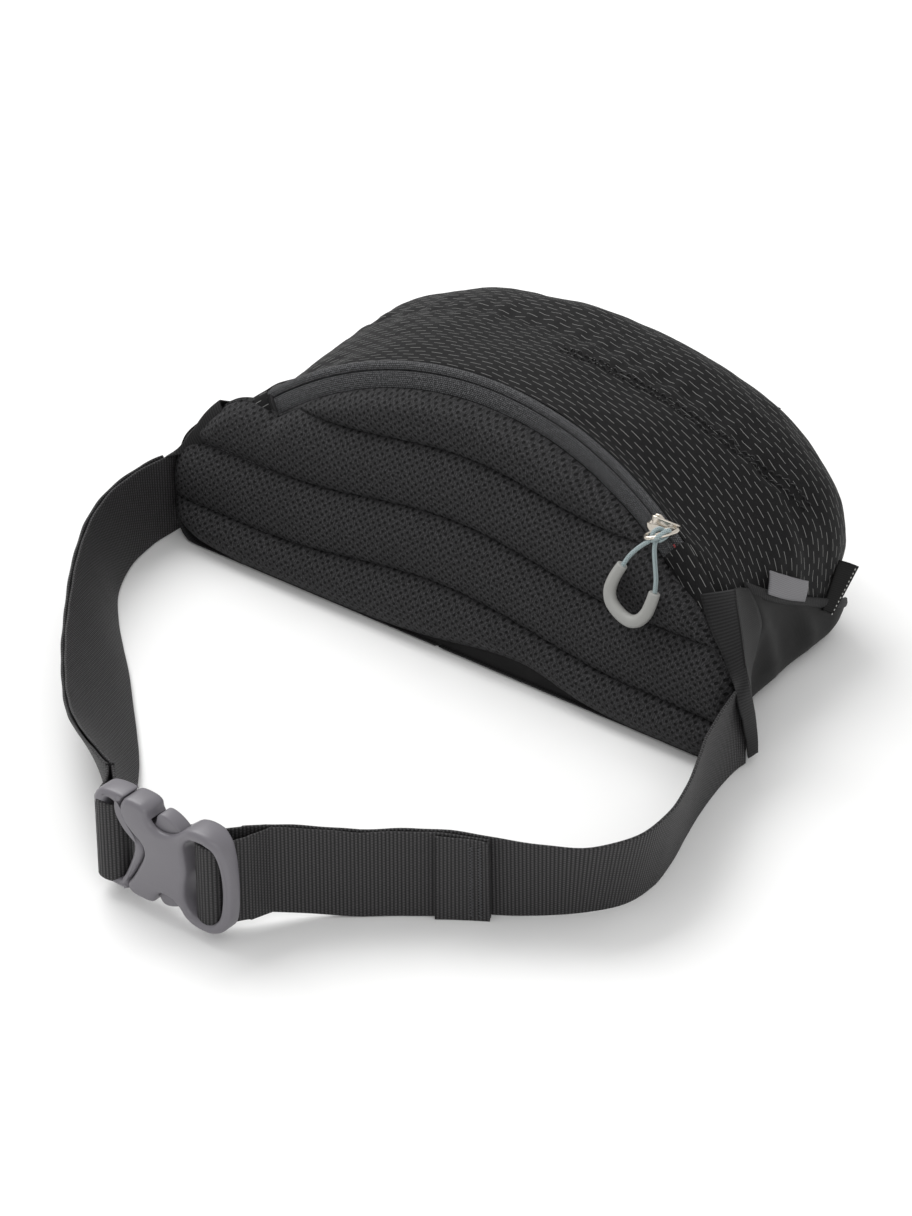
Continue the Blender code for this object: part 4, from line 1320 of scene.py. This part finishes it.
def belt():
    inner = strap_line(LEFT_STRAP, 0.0, LAYER_STEP)
    outer = strap_line(LEFT_STRAP[1:], LAYER_STEP, LAYER_STEP)
    for layer, line, cut in (("inner", inner, ROOT_CUT), ("outer", outer, ROOT_CUT - STRAP_STEPS)):
        root = strap("belt_left_root_" + layer, denser(line[:cut + 1]), None, (), caps=False)
        root_run = lengths_along([middle for middle, up, face in line[:cut + 1]])[-1]
        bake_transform(root)
        reach = strap("belt_left_" + layer, denser(line[cut:]), None, ("webbing_left_" + layer,),
                      root_run, False)
        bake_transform(reach)
    strap("belt_male_loop", denser(upright_line(MALE_LOOP), 1.0), "buckle_male",
          ("webbing_male_loop",))
    main = strap_line(RIGHT_STRAP, 0.0)
    loop = flipped(upright_line(LOCK_LOOP))
    tail = flipped(strap_line(RIGHT_STRAP[-TAIL_KNOTS:], LAYER_STEP)[TAIL_START:][::-1][1:])
    right = strap("belt_right", denser(main + loop + tail), None, ("webbing_right",))
    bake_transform(right)
    flap = strap_line(RIGHT_STRAP[-TAIL_KNOTS:], LAYER_STEP * 2)[TAIL_START:TAIL_END]
    strap("belt_tail_fold", denser(flap), "belt", ("webbing_tail_fold",))
    tail_stitches(flap)


def tail_stitches(flap):
    """Two dense rows of zigzag stitches near the fold's free end."""
    for column, index in enumerate((1, 2)):
        middle, up, face = flap[index]
        along = (flap[index + 1][0] - flap[index][0]).normalized()
        points = []
        for k in range(49):
            t = -16.5 + 33.0 * k / 48
            points.append(middle + up * t + along * (0.55 * (1 if k % 2 else -1)) + face * 0.78)
        tube("fold_stitch_%d" % column, points, 0.3, DARK_THREAD, "belt", 6)


# ---------------------------------------------------------------- buckle

BUCKLE_MIDDLE_Z = 26.4
TAPER_START = 63.0             # the female half gets thinner from here to its outer end
TAPER_LENGTH = 8.5
SEAM = (
    (22.0, 47.6), (20.3, 44.4), (20.7, 40.4), (23.5, 36.3), (27.2, 33.4), (30.3, 31.2),
    (31.5, 28.2), (30.6, 24.4), (27.6, 18.4), (24.9, 13.8), (22.7, 10.6), (23.0, 8.0),
)
FEMALE_EDGE = (
    (25.4, 6.5), (30.0, 6.2), (34.4, 6.6), (36.2, 8.8), (37.6, 11.6), (41.0, 12.8), (45.0, 12.2),
    (48.4, 9.8), (51.2, 6.8), (55.0, 5.1), (60.0, 4.6), (65.0, 5.2), (68.8, 7.8), (70.8, 12.6),
    (71.6, 18.8), (71.8, 26.0), (71.4, 33.2), (70.4, 39.6), (68.4, 44.4), (64.4, 47.2),
    (58.8, 48.2), (53.8, 47.3), (50.6, 45.0), (47.4, 42.4), (43.6, 40.7), (39.6, 40.2),
    (36.0, 41.3), (33.9, 44.0), (33.2, 46.8), (30.8, 48.3), (27.0, 48.7), (23.8, 48.5),
)
FEMALE_HOLE = (
    (56.6, 43.2), (53.0, 41.6), (50.9, 37.8), (51.4, 33.2), (52.0, 27.0), (51.0, 20.5),
    (50.9, 14.8), (53.0, 10.8), (56.6, 9.2), (61.0, 8.9), (64.8, 9.8), (67.2, 13.6), (68.3, 20.4),
    (68.4, 28.0), (67.4, 35.6), (65.2, 41.4), (61.6, 43.4),
)
MALE_EDGE = (
    (22.4, 7.2), (19.0, 6.3), (14.6, 6.6), (11.0, 8.2), (9.4, 11.0), (9.2, 20.0), (8.8, 32.0),
    (7.2, 38.6), (6.7, 42.0), (7.8, 45.4), (10.6, 47.6), (14.6, 48.5), (18.8, 48.7), (21.4, 48.4),
)
MALE_HOLE = (
    (12.8, 43.6), (16.6, 44.2), (18.7, 42.6), (19.6, 39.4), (22.6, 35.0), (25.3, 31.8),
    (26.2, 28.6), (25.4, 24.4), (23.0, 18.2), (20.8, 13.4), (18.8, 10.4), (15.6, 9.6),
    (13.0, 11.0), (12.6, 18.0), (12.6, 34.0),
)
ARM_EDGE = (
    (22.6, 36.4), (27.0, 38.2), (32.6, 39.4), (35.6, 41.6), (36.6, 44.8), (38.6, 46.6),
    (42.2, 46.2), (46.2, 44.2), (49.3, 41.2), (49.9, 38.4), (47.2, 37.0), (42.4, 37.9),
    (37.6, 36.4), (31.0, 35.4), (26.0, 34.0), (22.6, 33.4),
)


def joined(seam, edge):
    """A closed outline: the seam between the halves, then a half's own edge."""
    return seam + smooth_path((seam[-1],) + edge + (seam[0],), 4)[1:-1]


def evaluated(piece):
    """A new mesh of a piece as it is after its modifiers."""
    graph = bpy.context.evaluated_depsgraph_get()
    return bpy.data.meshes.new_from_object(piece.evaluated_get(graph))


def moulding(name, edge, holes, front, back, soft, body, replaced=()):
    """A plate between two depths about the buckle's middle, with rounded edges."""
    front, back = BUCKLE_Y + front, BUCKLE_Y + back
    curve = bpy.data.curves.new(name + "_outline", "CURVE")
    curve.dimensions = "2D"
    curve.fill_mode = "BOTH"
    for loop in [edge] + holes:
        spline = curve.splines.new("POLY")
        spline.points.add(len(loop) - 1)
        for point, (x, z) in zip(spline.points, loop):
            point.co = (x, z, 0, 1)
        spline.use_cyclic_u = True
    curve.extrude = (back - front) / 2 - soft
    curve.bevel_depth = soft
    curve.bevel_resolution = 3
    curve.offset = -soft
    holder = linked(name + "_outline", curve)
    raw = evaluated(holder)
    bpy.data.objects.remove(holder)
    shape = bmesh.new()
    shape.from_mesh(raw)
    bpy.data.meshes.remove(raw)
    bmesh.ops.remove_doubles(shape, verts=shape.verts, dist=0.002)
    for point in shape.verts:
        x, z, depth = point.co
        thin = 1 - 0.42 * unit((x - TAPER_START) / TAPER_LENGTH)
        point.co = Vector((x, (front + back) / 2 + depth * thin, z)) * MM
    bmesh.ops.recalc_face_normals(shape, faces=shape.faces)
    mesh = mesh_from(name, shape)
    made = finished(name, mesh, MOULDED, body, replaced)
    mesh.set_sharp_from_angle(angle=radians(40))
    return made


def box_cutter(low, high):
    shape = bmesh.new()
    bmesh.ops.create_cube(shape, size=1.0)
    for point in shape.verts:
        point.co = Vector([(a + b) / 2 + (b - a) * c for a, b, c in zip(low, high, point.co)]) * MM
    return linked("cutter", mesh_from("cutter", shape))


def carved(piece, boxes):
    """Applies boolean cuts, then removes the cutters."""
    cutters = [box_cutter(low, high) for low, high in boxes]
    for cutter in cutters:
        change = piece.modifiers.new("cut", "BOOLEAN")
        change.operation = "DIFFERENCE"
        change.solver = "EXACT"
        change.object = cutter
    result = evaluated(piece)
    piece.modifiers.clear()
    old = piece.data
    piece.data = result
    result.name = old.name
    bpy.data.meshes.remove(old)
    for cutter in cutters:
        bpy.data.objects.remove(cutter)
    result.set_sharp_from_angle(angle=radians(40))


def mirrored(points):
    return [(x, 2 * BUCKLE_MIDDLE_Z - z) for x, z in points][::-1]


def buckle():
    seam = smooth_path(SEAM, 5)
    female = moulding("buckle_female_shell", joined(seam, FEMALE_EDGE),
                      [closed_path(FEMALE_HOLE, 4)], -6.3, 5.5, 2.1, "belt", ("buckle_female",))
    carved(female, [((10, BUCKLE_Y - 3.75, 9.6), (50.3, BUCKLE_Y + 3.75, 43.2))])
    moulding("buckle_bar", [(60.2, 6.0), (65.2, 6.0), (65.2, 46.0), (60.2, 46.0)], [], -2.4, 2.4,
             1.1, "belt")
    male_seam = [(x - 0.5, z) for x, z in seam]
    moulding("buckle_male_frame", joined(male_seam, MALE_EDGE), [closed_path(MALE_HOLE, 4)],
             -5.7, 4.7, 2.0, "buckle_male", ("buckle_male",))
    tongue = [(26.0, 22.4), (44.0, 22.8), (46.4, 25.0), (46.4, 27.8), (44.0, 30.0), (26.0, 30.4)]
    moulding("buckle_tongue", tongue, [], -2.6, 2.6, 0.7, "buckle_male")
    for side, edge in (("upper", ARM_EDGE), ("lower", mirrored(ARM_EDGE))):
        moulding("buckle_arm_leaf_" + side, closed_path(edge, 4), [], -3.35, 3.35, 0.9,
                 "arm_" + side, ("buckle_arm_" + side,))


pad()
main_zip()
edge_binding()
sides()
slider()
pull()
bar_tack()
belt()
buckle()
repaint_nodes()


# ---------------------------------------------------------------- floor, lights and camera

def floor():
    look = solid_look("floor", (0.93, 0.93, 0.925), 0.75, 0.0, 60.0, 0.02, 0.01, 0.2)
    shape = bmesh.new()
    bmesh.ops.create_grid(shape, x_segments=8, y_segments=8, size=2.5)
    made = linked("floor", mesh_from("floor", shape))
    made.data.materials.append(look)


def area_light(name, spot, aim, size, power, colour=(1.0, 1.0, 1.0)):
    lamp = bpy.data.lights.new(name, "AREA")
    lamp.energy = power
    lamp.size = size
    lamp.color = colour
    made = linked(name, lamp)
    made.location = spot
    made.rotation_euler = (Vector(aim) - Vector(spot)).to_track_quat("-Z", "Y").to_euler()


def studio():
    world = bpy.data.worlds.new("studio")
    world.use_nodes = True
    backdrop = world.node_tree.nodes["Background"]
    backdrop.inputs["Color"].default_value = (1.0, 1.0, 1.0, 1.0)
    backdrop.inputs["Strength"].default_value = 0.74
    bpy.context.scene.world = world
    area_light("key", (-1.25, 0.25, 1.8), (0, -0.08, 0.03), 1.5, 32)
    area_light("fill", (1.3, -1.5, 1.4), (0, -0.05, 0.05), 1.4, 10)
    bpy.context.scene.view_settings.view_transform = "Standard"


def camera():
    azimuth, elevation, distance = radians(38.5), radians(32), 1.7
    target = Vector((0, -0.050, 0))
    back = Vector((sin(azimuth) * cos(elevation), -cos(azimuth) * cos(elevation),
                   sin(elevation)))
    lens = bpy.data.cameras.new("camera")
    lens.sensor_width = 36.0
    lens.lens = 121.8
    lens.shift_x = 0.0049
    lens.shift_y = 0.0263
    lens.clip_start = 0.05
    made = linked("camera", lens)
    made.location = target + back * distance
    made.rotation_euler = (-back).to_track_quat("-Z", "Y").to_euler()
    bpy.context.scene.camera = made


floor()
studio()
camera()
